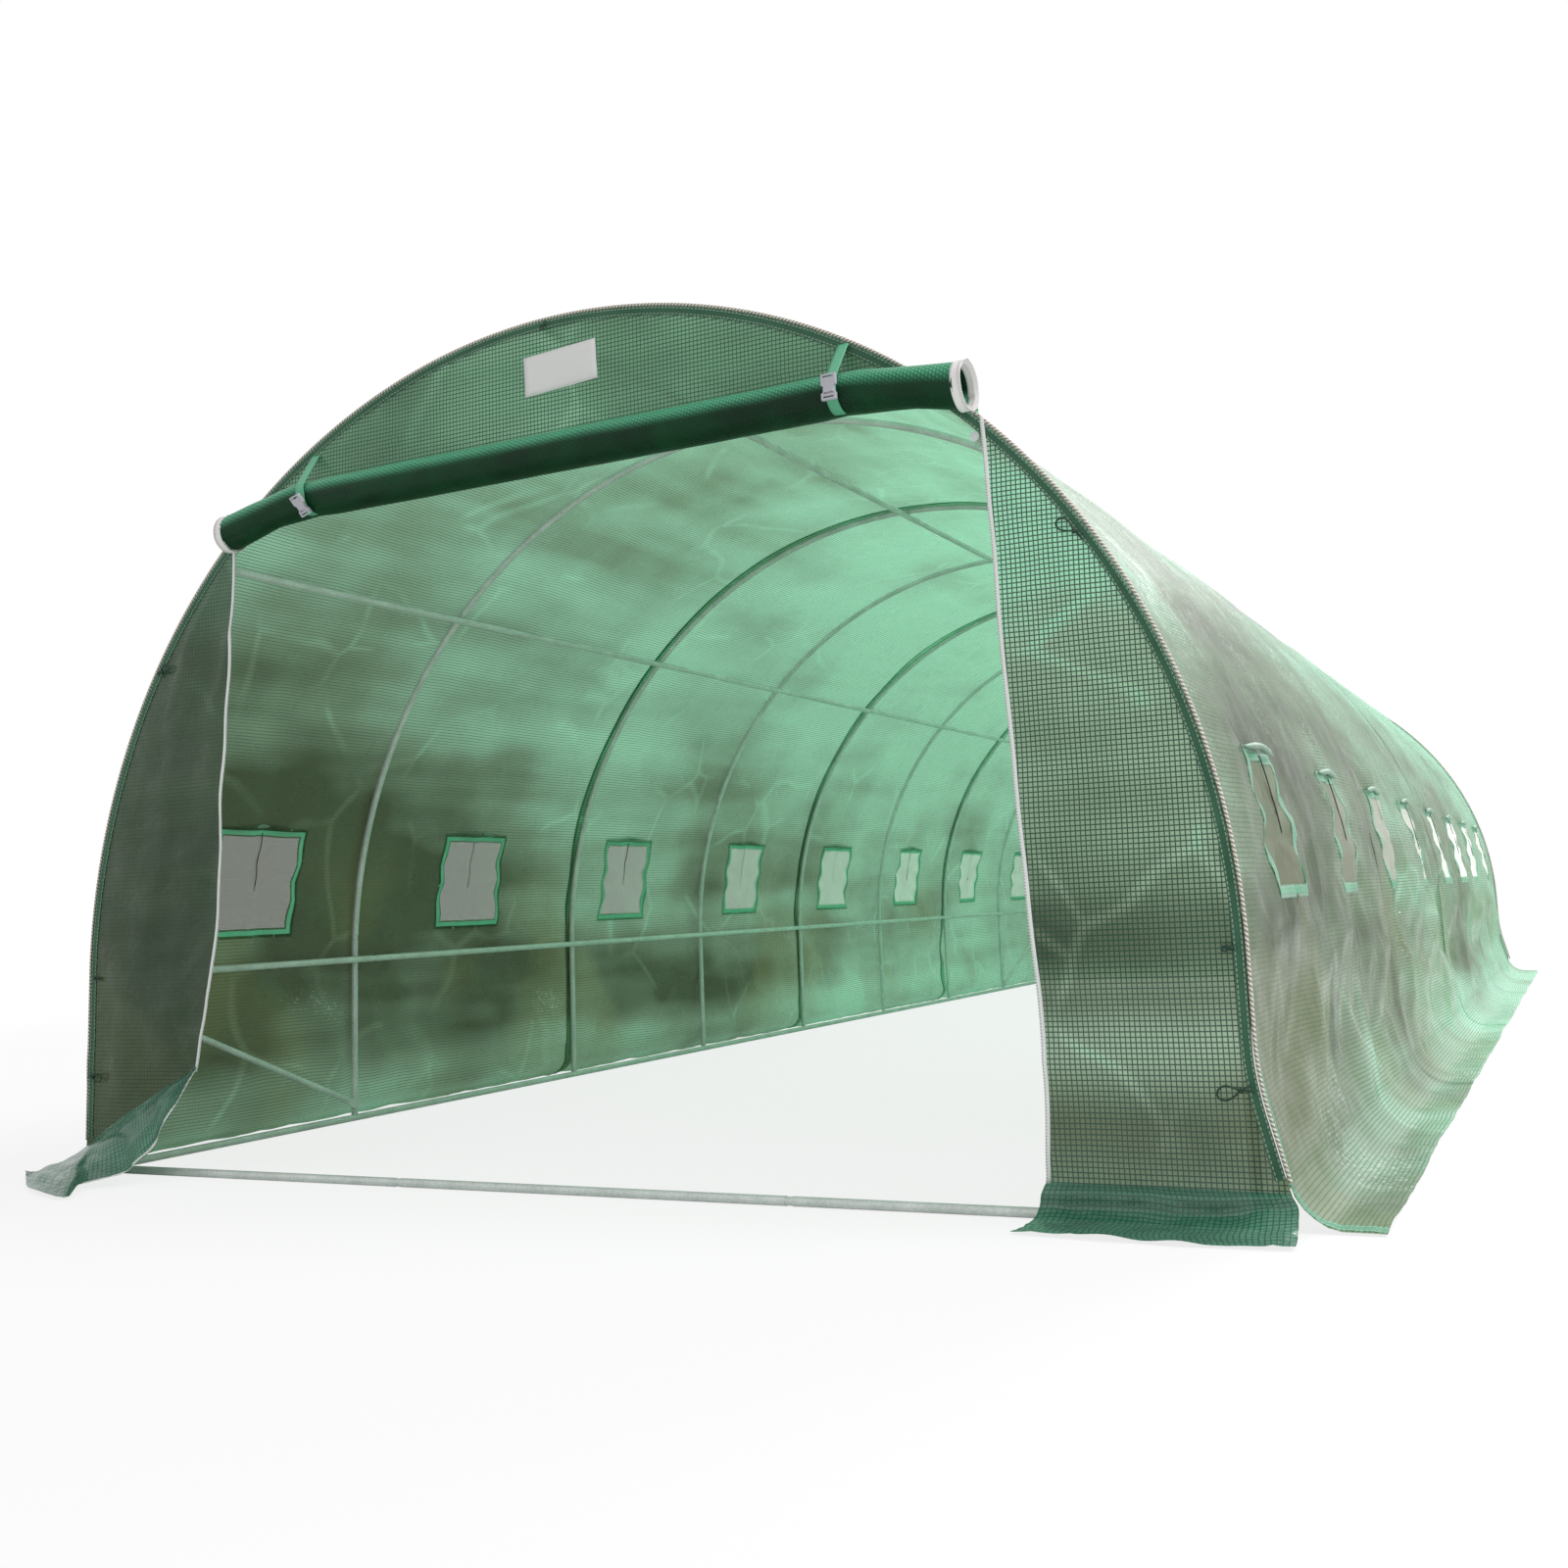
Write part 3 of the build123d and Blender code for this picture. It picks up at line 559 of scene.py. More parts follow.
@dataclass(frozen=True)
class RolledFilm:
    """Two or more layers of the green film, which hide what is behind them.

    The eye sees a deep bottle green with a painted highlight along its upper edge, where it faces the sky, and the
    scrim as a fine slanting ribbing.
    """

    name: str
    dark: str
    light: str
    top: str  # painted highlight, mixed in where it faces the sky
    stitch: str = "#e8efe9"
    hem: float = 0.0  # width of a hem with a row of stitches along both edges
    roughness: float = 0.34
    patches: float = 1.0
    glow: str = ""  # colour of the light that comes through, where there is any
    glow_share: float = 0.5

    def material(self) -> Material:
        """Mix the layered film with its scrim and, on a hem, its stitches.

        Returns:
            the material
        """
        graph = Graph.named(self.name)
        across, along, _ = graph.split(graph.cloth())
        leaning = graph.math("MULTIPLY_ADD", across, 0.5, along)
        waves = [graph.math("PINGPONG", way, 0.004) for way in (leaning, across)]
        threads = graph.math("MAXIMUM", *[graph.ranged(wave, 0.0, 0.0026, 1.0, 0.0) for wave in waves])
        clouds = graph.noise(graph.where(), 7.0, detail=4.0, distortion=0.8)
        # Painted highlight: skin that faces the sky is mixed towards the top colour.
        upper = graph.ranged(graph.split(graph.where("Normal"))[2], -0.1, 0.6, smooth=True)
        ribbed = graph.ranged(threads, 0.0, 1.0, 1.0, 0.45)
        colour = graph.mixed(graph.ranged(clouds, 0.35, 0.75, 0.0, self.patches), self.dark, self.light)
        colour = graph.mixed(graph.math("MULTIPLY", upper, ribbed), colour, self.top)
        colour = graph.mixed(graph.math("MULTIPLY", threads, 0.35), colour, self.dark)
        if self.hem:
            colour = graph.mixed(self.stitches(graph, across, along), colour, self.stitch)
        shader = graph.skin(
            colour,
            graph.ranged(clouds, 0.3, 0.7, self.roughness - 0.08, self.roughness + 0.12),
            Normal=graph.bump(graph.math("MULTIPLY_ADD", threads, 0.25, clouds), 0.4, 0.01),
            IOR=1.33,
            Specular_IOR_Level=0.35,
        )
        if self.glow:
            shader = graph.blend(self.glow_share, shader, graph.add("BsdfTranslucent", {"Color": self.glow}))
        return graph.finish(shader)

    def stitches(self, graph: Graph, across: Socket, along: Socket) -> Socket:
        """A dashed row of stitches near both edges of the hem."""
        from_middle = graph.math("ABSOLUTE", graph.math("SUBTRACT", across, self.hem / 2))
        from_row = graph.math("ABSOLUTE", graph.math("SUBTRACT", from_middle, self.hem * 0.34))
        in_dash = graph.math("GREATER_THAN", graph.math("PINGPONG", along, 0.005), 0.002)
        return graph.math("MULTIPLY", graph.math("LESS_THAN", from_row, 0.0011), in_dash)


@dataclass(frozen=True)
class InsectNet:
    """Fine white polyester net, which greys what is behind it."""

    name: str = "polyester_insect_net"
    thread: str = "#f4f8f0"
    dull: str = "#6a6c58"  # painted shade near the doorway, fading to the white threads further in
    cover: float = 0.72
    pitch: float = 0.004  # the real net has a 1 mm mesh, drawn at 4 mm so that it shows

    def material(self) -> Material:
        """Threads that hide all, over openings that hide about half."""
        graph = Graph.named(self.name)
        across, along, _ = graph.split(graph.cloth())
        waves = [graph.math("PINGPONG", way, self.pitch / 2) for way in (across, along)]
        threads = graph.math("MAXIMUM", *[graph.ranged(wave, 0.0004, 0.0009, 1.0, 0.0) for wave in waves])
        where = graph.where()
        # Painted shade: the net is duller near the doorway and whiter towards the rear wall, with a little mottle.
        inward = graph.ranged(graph.split(where)[1], -3.6, 1.5, smooth=True)
        mottle = graph.ranged(graph.noise(where, 6.0), 0.3, 0.7, 0.85, 1.0)
        colour = graph.mixed(graph.math("MULTIPLY", inward, mottle), self.dull, self.thread)
        return graph.finish(graph.skin(colour, 0.75, Alpha=graph.ranged(threads, 0.0, 1.0, self.cover, 0.95)))


@dataclass(frozen=True)
class GalvanisedSteel:
    """Thin steel tube with a hot-dipped zinc skin: pale grey, softly cloudy and dull-bright."""

    name: str = "galvanised_steel_tube"
    pale: str = "#eef2f0"
    dull: str = "#d2d9d5"

    def material(self) -> Material:
        """Zinc with faint spangles and rubbed streaks."""
        graph = Graph.named(self.name)
        where = graph.where()
        spangle = graph.add("TexVoronoi", {"Vector": where, "Scale": 120.0}).outputs[0]
        mixture = graph.math("MULTIPLY_ADD", spangle, 0.35, graph.noise(where, 14.0, detail=5.0))
        share = graph.ranged(mixture, 0.35, 0.85)
        colour, dulled = graph.mixed(share, self.pale, self.dull), graph.ranged(share, 0.0, 1.0, 0.34, 0.56)
        return graph.finish(graph.skin(colour, dulled, Metallic=0.2, Normal=graph.bump(mixture, 0.06, 0.001)))


@dataclass(frozen=True)
class StitchedTape:
    """Woven polyester tape or braid with a row of bars across it: zip coils, overlock stitches or webbing ribs."""

    name: str
    ground: str
    bar: str
    bar_pitch: float  # along the tape
    bar_band: tuple[float, float]  # where the bars lie across the tape
    slant: float = 0.0  # how far the bars lean, as a share of their length
    roughness: float = 0.7
    height: float = 0.6

    def material(self) -> Material:
        """The woven ground with its raised bars."""
        graph = Graph.named(self.name)
        cloth = graph.cloth()
        across, along, _ = graph.split(cloth)
        wave = graph.math("PINGPONG", graph.math("MULTIPLY_ADD", across, self.slant, along), self.bar_pitch / 2)
        bars = graph.ranged(wave, self.bar_pitch * 0.16, self.bar_pitch * 0.3, 1.0, 0.0, True)
        low, high = self.bar_band
        away = graph.math("ABSOLUTE", graph.math("SUBTRACT", across, (low + high) / 2))
        shown = graph.math("MULTIPLY", bars, graph.math("LESS_THAN", away, (high - low) / 2))
        soiled = graph.ranged(graph.noise(cloth, 300.0), 0.3, 0.7, 0.88, 1.0)
        colour = graph.mixed(shown, graph.mixed(soiled, self.bar, self.ground), self.bar)
        return graph.finish(graph.skin(colour, self.roughness, Normal=graph.bump(shown, self.height, 0.002)))


@dataclass(frozen=True)
class MouldedPlastic:
    """Injection-moulded acetal: even, slightly waxy, with a faint orange-peel skin."""

    name: str
    colour: str
    shade: str
    roughness: float = 0.4

    def material(self) -> Material:
        """The moulded skin."""
        graph = Graph.named(self.name)
        peel = graph.noise(graph.where(), 220.0, detail=3.0)
        colour = graph.mixed(peel, self.shade, self.colour)
        return graph.finish(graph.skin(colour, self.roughness, Normal=graph.bump(peel, 0.15, 0.001)))


@dataclass(frozen=True)
class BraidedCord:
    """Thin braided polyester cord, dark and matt, with a fine herringbone of strands."""

    name: str
    colour: str
    shade: str

    def material(self) -> Material:
        """The braid."""
        graph = Graph.named(self.name)
        wave = {"bands_direction": "DIAGONAL", "Vector": graph.where(), "Scale": 260.0, "Distortion": 1.5}
        braid = graph.add("TexWave", wave).outputs[1]
        colour = graph.mixed(braid, self.shade, self.colour)
        return graph.finish(graph.skin(colour, 0.65, Normal=graph.bump(braid, 0.4, 0.0006)))


@dataclass(frozen=True)
class Tunnel:
    """Places that the whole cover follows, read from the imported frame."""

    hoops: tuple[float, ...]
    half_span: float
    spring: float  # height of the middle of the arch
    wall: float  # inner face of the cover, from the middle of the arch
    skirt_edge: float
    front: float  # outer face of the front wall
    rear: float
    door_top: float

    @classmethod
    def from_frame(cls) -> "Tunnel":
        """Measure the nodes."""
        boxes = [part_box(f"hoop_{number}") for number in range(1, 10)]
        low, high = boxes[0]
        tube = high.y - low.y
        return cls(
            hoops=tuple((low.y + high.y) / 2 for low, high in boxes),
            half_span=high.x - tube / 2,
            spring=high.z - high.x,
            wall=high.x + COVER_GAP,
            skirt_edge=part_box("cover_strip_2")[1].x,
            front=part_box("front_gable")[0].y,
            rear=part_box("rear_gable")[1].y,
            door_top=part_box("front_gable")[0].z,
        )


class CoverLine:
    """The cover's line across the tunnel, measured from the edge of the right skirt."""

    FILM_SEAT = 0.0015  # the film lies in the middle of its solid's thickness
    SKIRT_FLAT = 0.145
    SKIRT_BEND = 0.1
    BULGE_TOP = 0.27
    BULGE_BEND = 0.6
    TUCK = 0.05  # how far the left foot is pulled in against the base rail
    TUCK_TOP = 0.3
    TUCK_EASE = 0.25  # of height over which the pull sets in
    NORMAL_REACH = 0.004  # to the places on both sides that give a normal

    def __init__(self, tunnel: Tunnel) -> None:
        """Draw the line for one tunnel."""
        self.radius = tunnel.wall + self.FILM_SEAT
        self.spring = tunnel.spring
        edge = tunnel.skirt_edge
        foot = rounded(
            [(edge, 0.002), (edge - self.SKIRT_FLAT, 0.002), (self.radius, self.BULGE_TOP), (self.radius, self.spring)],
            [self.SKIRT_BEND, self.BULGE_BEND],
        )
        arch = [
            (self.radius * cos(angle), self.spring + self.radius * sin(angle))
            for angle in np.linspace(0, pi, 241)[1:-1]
        ]
        other = [(-x, z) for x, z in reversed(foot)]
        points = np.array(foot + arch + other)
        self.places = run_along(points)
        self.points = points
        self.length = float(self.places[-1])
        self.middle = len(self.places) // 2

    def at(self, place: Array) -> tuple[Array, Array, Array, Array]:
        """Points and outward normals at places along the line.

        Args:
            place: distances from the edge of the right skirt

        Returns:
            x, z, and the outward normal's x and z
        """
        before, here, after = (
            [np.interp(place + shift, self.places, column) for column in self.points.T]
            for shift in (-self.NORMAL_REACH, 0.0, self.NORMAL_REACH)
        )
        dx, dz = after[0] - before[0], after[1] - before[1]
        size = np.maximum(np.hypot(dx, dz), 1e-9)
        return *here, dz / size, -dx / size

    def place_of(self, height: float, side: Side = Side.RIGHT) -> float:
        """Where along the line the cover reaches a height on one side."""
        place = float(np.interp(height, self.points[: self.middle + 1, 1], self.places[: self.middle + 1]))
        return place if side is Side.RIGHT else self.length - place

    def half_width(self, height: Array) -> Array:
        """Half the tunnel's width at a height, above the skirts."""
        return np.interp(height, self.points[: self.middle + 1, 1], self.points[: self.middle + 1, 0])

    def reach_at(self, height: float) -> float:
        """The half width at one height."""
        return float(self.half_width(np.array([height]))[0])

    def top_over(self, x: Array) -> Array:
        """Height of the arch over a place across the tunnel."""
        return self.spring + np.sqrt(np.maximum(self.radius**2 - x**2, 0))

    def drawn_in(self, x: Array, z: Array) -> Array:
        """How far the left foot is pulled in towards the tunnel, at most to the hoops' outside."""
        pulled = self.TUCK * smooth_between(self.TUCK_TOP - z, 0.0, self.TUCK_EASE)
        return np.minimum(pulled, np.maximum(np.abs(x) - self.radius, 0)) * (x < 0)


@dataclass
class Windows:
    """The net windows of both long walls: nets, hems, rolled flaps and tie cords."""

    line: CoverLine
    wall: float
    count: int = 8
    middle_height: float = 0.745
    width: float = 0.285
    rise: float = 0.27
    hem: float = 0.028
    hem_step: float = 0.014
    net_step: float = 0.024
    net_lap: float = 0.005  # of the net under its hem
    cut_back: float = 0.019  # the cover is cut back this far under the hem
    flap_length: float = 0.35
    flap_cut: float = 0.33  # of cloth that is rolled up
    flap_radius: float = 0.0085
    flap_away: float = 0.0042  # from the hoops to the flap
    cover_thickness: float = 0.0033  # with its hems
    cord: float = 0.003
    cord_length: float = 0.172
    cord_heights: tuple[float, ...] = (0.893, 0.852, 0.808, 0.762, 0.722)
    cord_sway: tuple[float, ...] = (0.0, 0.005, -0.004, 0.006, 0.001)
    cord_away: float = 0.0033  # from the cover's outer face to the middle of the cord

    def __post_init__(self) -> None:
        """Work out the windows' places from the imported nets."""
        low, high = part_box("window_meshes_right")
        pitch = (high.y - low.y - self.width) / (self.count - 1)
        start = (low.y + high.y) / 2 - pitch * (self.count - 1) / 2
        self.places = [start + pitch * i for i in range(self.count)]
        self.low = self.line.place_of(self.middle_height - self.rise / 2)
        self.high = self.line.place_of(self.middle_height + self.rise / 2)

    def spans(self, side: Side, margin: float) -> tuple[float, float]:
        """The windows' lower and upper line on the cover of one side, widened by a margin."""
        if side is Side.RIGHT:
            return self.low - margin, self.high + margin
        return self.line.length - self.high - margin, self.line.length - self.low + margin

    def cuts(self, y: Array, place: Array) -> Array:
        """Which places of the cover are cut away for the windows."""
        beside = np.min([np.abs(y - middle) for middle in self.places], axis=0) < self.width / 2 + self.cut_back
        level = np.zeros_like(beside)
        for side in Side:
            low, high = self.spans(side, self.cut_back)
            level |= (place > low) & (place < high)
        return beside & level

    def away(self, y: Array, place: Array) -> tuple[Array, Array]:
        """Distance of places of the cover from the nearest window, and the angle round it."""
        middle = np.array(self.places)
        nearest = middle[np.argmin(np.abs(y[:, None] - middle[None, :]), axis=1)]
        from_right = np.minimum(place, self.line.length - place)
        side, up = y - nearest, from_right - (self.low + self.high) / 2
        gap = np.hypot(np.maximum(np.abs(side) - self.width / 2, 0), np.maximum(np.abs(up) - self.rise / 2, 0))
        return gap, np.arctan2(up, side)

    def build(self, cover: "Cover", finishes: Finishes) -> None:
        """Make every window's pieces.

        Args:
            cover: the film that the windows are sewn into
            finishes: the materials by name
        """
        for side in Side:
            name = side.word
            for number, y in enumerate(self.places, start=1):
                net = self.net(cover, side, number, y)
                dress(net, finishes["net"], "insect_mesh", f"window_meshes_{name}")
                hem = self.hem_band(cover, side, number, y)
                dress(hem, finishes["hem"], "cover_layers", f"window_hems_{name}")
                flap = self.flap(side, number, y)
                dress(flap, finishes["flap"], "cover_layers", f"window_flaps_{name}")
            log.info("windows %s: %d nets, hems and rolled flaps", name, self.count)

    def net(self, cover: "Cover", side: Side, number: int, y: float) -> Piece:
        """One net, a little slack in its hem."""
        low, high = self.spans(side, self.net_lap)
        reach = self.width / 2 + self.net_lap

        def place(across: Array, along: Array) -> Laid:
            """Slack the net between its edges."""
            inner = np.clip(1 - ((across - y) / reach) ** 2, 0, 1)
            inner *= np.clip(1 - ((2 * along - low - high) / (high - low)) ** 2, 0, 1)
            slack = 0.004 * inner * ripples(across, along, 0.16, 40 + number)
            return cover.points(across, along, 0.0006 + slack), stacked(across, along)

        return cloth_grid(
            f"window_net_{side.word}_{number}",
            grid_lines([y - reach, y + reach], self.net_step),
            grid_lines([low, high], self.net_step),
            place,
        )

    def hem_band(self, cover: "Cover", side: Side, number: int, y: float) -> Piece:
        """The double hem round one net, puckered by its stitches."""
        low, high = self.spans(side, 0.0)
        left, right = y - self.width / 2, y + self.width / 2

        def place(across: Array, along: Array) -> Laid:
            """Lie on the cover, with U across the band and V along it."""
            beside = np.maximum(left - across, across - right)
            above = np.maximum(low - along, along - high)
            over = np.maximum(beside, above)
            run = np.where(above > beside, across, along)
            pucker = 0.0012 * np.sin(run * 2 * pi / 0.021) * np.clip(over / self.hem, 0, 1)
            return cover.points(across, along, 0.0022 + pucker), stacked(over, run)

        columns, rows = (
            [start - self.hem, start - self.hem / 2, start, end, end + self.hem / 2, end + self.hem]
            for start, end in ((left, right), (low, high))
        )
        return cloth_grid(
            f"window_hem_{side.word}_{number}",
            grid_lines(columns, self.hem_step),
            grid_lines(rows, self.hem_step),
            place,
            lambda across, along: (across > left) & (across < right) & (along > low) & (along < high),
        )

    def flap(self, side: Side, number: int, y: float) -> Piece:
        """One window's flap, rolled up over the top hem and left a little loose."""
        height = self.middle_height + self.rise / 2 + self.hem
        centre = self.wall + self.flap_away + self.flap_radius
        x = sqrt(centre**2 - (height - self.line.spring) ** 2)
        turns = self.flap_cut / (2 * pi * self.flap_radius * 0.72)

        def place(across: Array, along: Array) -> Laid:
            """Wind the cloth round the roll, from the wall outwards."""
            share = along / self.flap_cut
            angle = pi * 0.95 - share * 2 * pi * turns
            radius = self.flap_radius * (1 - 0.55 * share) + 0.0012 * ripples(across, angle * 0.02, 0.09, 70 + number)
            to_end = self.flap_length / 2 - np.abs(across - y)
            radius = radius * (0.12 + 0.88 * smooth_between(to_end, 0.0, 0.09))
            droop = 0.005 * np.cos((across - y) * 2 * pi / 0.31)
            out, up = x + radius * np.cos(angle), height + droop + radius * np.sin(angle) * 0.92
            return stacked(side.value * out, across, up), stacked(across, along)

        lines = grid_lines([y - self.flap_length / 2, y + self.flap_length / 2], 0.029)
        if side is Side.LEFT:
            lines = lines[::-1]
        return cloth_grid(
            f"window_flap_{side.word}_{number}", lines, np.linspace(0, self.flap_cut, int(turns * 11)), place
        )

    def tie_cords(self, material: Material) -> None:
        """Hang every window's tie cord from its rolled flap."""
        radius = self.wall + self.cover_thickness + self.cord_away
        for side in Side:
            for number, y in enumerate(self.places, start=1):
                points = [
                    (side.value * sqrt(radius**2 - (height - self.line.spring) ** 2), y + sway, height)
                    for height, sway in zip(self.cord_heights, self.cord_sway)
                ]
                cord = nurbs_cord(f"window_cord_{side.word}_{number}", points, self.cord)
                dress(cord, material, "black_cord", f"window_cords_{side.word}")
        log.info("tie cords: %d", 2 * self.count)


def nurbs_cord(name: str, points: Sequence[Point], diameter: float) -> Piece:
    """A cord on one smooth open line.

    Args:
        name: the new piece's name
        points: the line's control points
        diameter: the cord's thickness

    Returns:
        a curve with a round section
    """
    data = bpy.data.curves.new(name, "CURVE")
    data.dimensions = "3D"
    data.bevel_depth = diameter / 2
    data.bevel_resolution = 3
    data.use_fill_caps = True
    spline = data.splines.new("NURBS")
    spline.points.add(len(points) - 1)
    for target, point in zip(spline.points, points):
        target.co = (*point, 1.0)
    spline.order_u = 3
    spline.use_endpoint_u = True
    spline.resolution_u = 8
    piece = bpy.data.objects.new(name, data)
    bpy.context.collection.objects.link(piece)
    return piece


@dataclass
class Cover:
    """The film over the hoops: four strips sewn together, with the doubled edges of both ends."""

    tunnel: Tunnel
    line: CoverLine
    windows: Windows
    sag: float = 0.011  # between two hoops
    seam_hoops: tuple[int, ...] = (3, 5, 7)
    seam_lap: float = 0.022
    column: float = 0.026
    row: float = 0.026
    edge_hem: float = 0.034
    seam_hem: float = 0.014
    piping: float = 0.0075

    def tension(self, y: Array) -> Array:
        """How free the film is at a place along the tunnel, 0 on a hoop and 1 between two."""
        hoops = np.array(self.tunnel.hoops)
        index = np.clip(np.searchsorted(hoops, y) - 1, 0, len(hoops) - 2)
        share = np.clip((y - hoops[index]) / (hoops[index + 1] - hoops[index]), 0, 1)
        return 4 * share * (1 - share)

    def relief(self, y: Array, place: Array) -> Array:
        """How far the film stands off its line: sag, slack folds, puckers and the rumpled skirt."""
        x, height, _, _ = self.line.at(place)
        free = self.tension(y)
        high = smooth_between(height, 0.35, 0.9)
        low = 1 - high
        roof = smooth_between(height, 1.2, 1.9)
        sag = -self.sag * free * (0.35 + 0.65 * roof) * high
        held = np.minimum(1, free * 2.2) * high + low
        slack = 0.004 * ripples(y, place, 0.6, 3) + 0.0016 * ripples(y, place, 0.24, 4)
        folds = 0.010 * creases(y, place, 62, 0.52, 11) + 0.007 * creases(y, place, 116, 0.44, 15)
        gap, angle = self.windows.away(y, place)
        pucker = 0.006 * np.exp(-gap / 0.09) * np.sin(angle * 9 + y * 9)
        rumple = 0.018 * ripples(y, place * 1.7, 0.7, 8) + 0.005 * ripples(y, place, 0.26, 9)
        from_end = np.minimum(y - self.tunnel.front, self.tunnel.rear - y)
        rumple = rumple * smooth_between(from_end, 0.03, 0.5)
        free_folds = (slack + folds * (0.5 + 0.5 * free)) * held
        lift = sag + free_folds + pucker * np.minimum(1, free * 3) + rumple * low * smooth_between(height, 0.01, 0.2)
        room = np.maximum(np.abs(x) - self.line.radius, 0) - self.line.drawn_in(x, height)
        lift = np.maximum(lift, -room - 0.12 * np.maximum(free - 0.07, 0))  # the film rests on the hoops
        on_ground = 1 - smooth_between(height, 0.0, 0.03)
        ground = 0.004 * np.abs(ripples(y, place, 0.26, 12)) + 0.004 * creases(y, place, 24, 0.3, 23)
        return lift * (1 - on_ground) + ground * on_ground

    def points(self, y: Array, place: Array, off: Array | float = 0.0) -> Array:
        """Points of the film.

        Args:
            y: places along the tunnel
            place: places along the cover's line
            off: how far outside the film the points stand

        Returns:
            one point for each place
        """
        x, z, nx, nz = self.line.at(place)
        lift = self.relief(y, place) + off
        edge = np.maximum(np.exp(-place / 0.05), np.exp(-(self.line.length - place) / 0.05))
        wander = 0.004 * np.abs(ripples(y, np.zeros_like(y), 1.1, 31)) * edge
        across = x + nx * lift - wander * np.sign(x) + self.line.drawn_in(x, z)
        return stacked(across, y, np.maximum(z + nz * lift, GROUND_GAP))

    def strip(self, number: int, start: float, end: float) -> Piece:
        """One strip of film from skirt to skirt, with its window openings cut out."""
        half = self.windows.width / 2 + self.windows.cut_back
        edges = {start, end}
        for middle in self.windows.places:
            edges |= {y for y in (middle - half, middle + half) if start < y < end}
        low, high = self.windows.spans(Side.RIGHT, self.windows.cut_back)
        other_low, other_high = self.windows.spans(Side.LEFT, self.windows.cut_back)
        seat = 0.0009 * (number % 2)
        return cloth_grid(
            f"cover_film_{number}",
            grid_lines(sorted(edges), self.column),
            grid_lines([0.0, low, high, other_low, other_high, self.line.length], self.row),
            lambda y, place: (self.points(y, place, seat), stacked(y, place)),
            self.windows.cuts,
        )

    def build(self, finishes: Finishes) -> None:
        """Make the strips, their end hems and the piping."""
        seams = [self.tunnel.front] + [self.tunnel.hoops[n - 1] for n in self.seam_hoops] + [self.tunnel.rear]
        for number, (start, end) in enumerate(zip(seams, seams[1:]), start=1):
            first = start - (self.seam_lap if number > 1 else 0)
            last = end + (self.seam_lap if number < 4 else 0)
            piece = self.strip(number, first, last)
            dress(piece, finishes["cover"], "cover_film", f"cover_strip_{number}")
            log.info("cover strip %d: %.2f m wide", number, last - first)
        for n in self.seam_hoops:
            self.seam(n, finishes)
        for name, y, way in (("front", self.tunnel.front, 1), ("rear", self.tunnel.rear, -1)):
            self.end_hem(name, y + way * 0.008, way, finishes)
            self.end_piping(name, y + way * self.piping / 2, finishes)

    def seam(self, hoop: int, finishes: Finishes) -> None:
        """The doubled film of the seam over one hoop, a little wavy."""
        start = self.tunnel.hoops[hoop - 1] - 0.012 - self.seam_hem
        lines = grid_lines([start, start + self.seam_hem], 0.012)

        def place(across: Array, along: Array) -> Laid:
            """Lie inside the film, with its edges wandering."""
            y = across - 0.012 * np.abs(ripples(along, np.full_like(along, hoop), 0.9, 35))
            return self.points(y, along, -0.0012), stacked(across - start, along)

        piece = cloth_grid(f"cover_seam_{hoop}", lines, grid_lines([0.0, self.line.length], 0.026), place)
        dress(piece, finishes["seam"], "cover_layers")

    def end_hem(self, name: str, y: float, way: int, finishes: Finishes) -> None:
        """The doubled edge of the cover at one end, over the arch and down both sides."""
        lines = grid_lines(sorted((y, y + way * self.edge_hem)), 0.009)

        def place(across: Array, along: Array) -> Laid:
            """Lie on the cover, lifted by the thread."""
            edge = np.abs(across - y)
            pucker = 0.0006 * np.sin(along * 2 * pi / 0.018)
            return self.points(across, along, 0.0022 + pucker), stacked(edge, along)

        piece = cloth_grid(f"cover_edge_hem_{name}", lines, grid_lines([0.0, self.line.length], 0.012), place)
        dress(piece, finishes["edge_hem"], "cover_layers", f"cover_hem_{name}")

    def end_piping(self, name: str, y: float, finishes: Finishes) -> None:
        """The piping in the seam between the cover and an end wall."""
        start = self.line.place_of(0.081)
        radius = self.piping / 2

        def place(around: Array, along: Array) -> Laid:
            """Wind round a line just outside the cover's edge."""
            x, z, nx, nz = self.line.at(along)
            angle = around / radius
            out = 0.0018 + radius + radius * np.cos(angle) + 0.0007 * np.sin(along * 2 * pi / 0.012)
            side = radius * np.sin(angle)
            across = x + nx * out + self.line.drawn_in(x, z)
            return stacked(across, y + side, z + nz * out), stacked(around, along)

        piece = cloth_grid(
            f"seam_piping_{name}",
            np.linspace(0, 2 * pi * radius, 9)[::-1],
            grid_lines([start, self.line.length - start], 0.012),
            place,
            closed=True,
        )
        dress(piece, finishes["piping"], "piping", f"{name}_piping")
        log.info("edge hem and piping: %s", name)


class ZipLine:
    """A zip's line in an end wall, from the foot of the wall up to the top of the doorway."""

    def __init__(self, points: Sequence[tuple[float, float]]) -> None:
        """Fit a smooth line through places across and up."""
        across, up = np.array(points).T
        self.curve = np.polynomial.Polynomial.fit(up, across, len(points) - 1)

    def at(self, height: Array) -> Array:
        """Where the zip is at a height."""
        return self.curve(height)


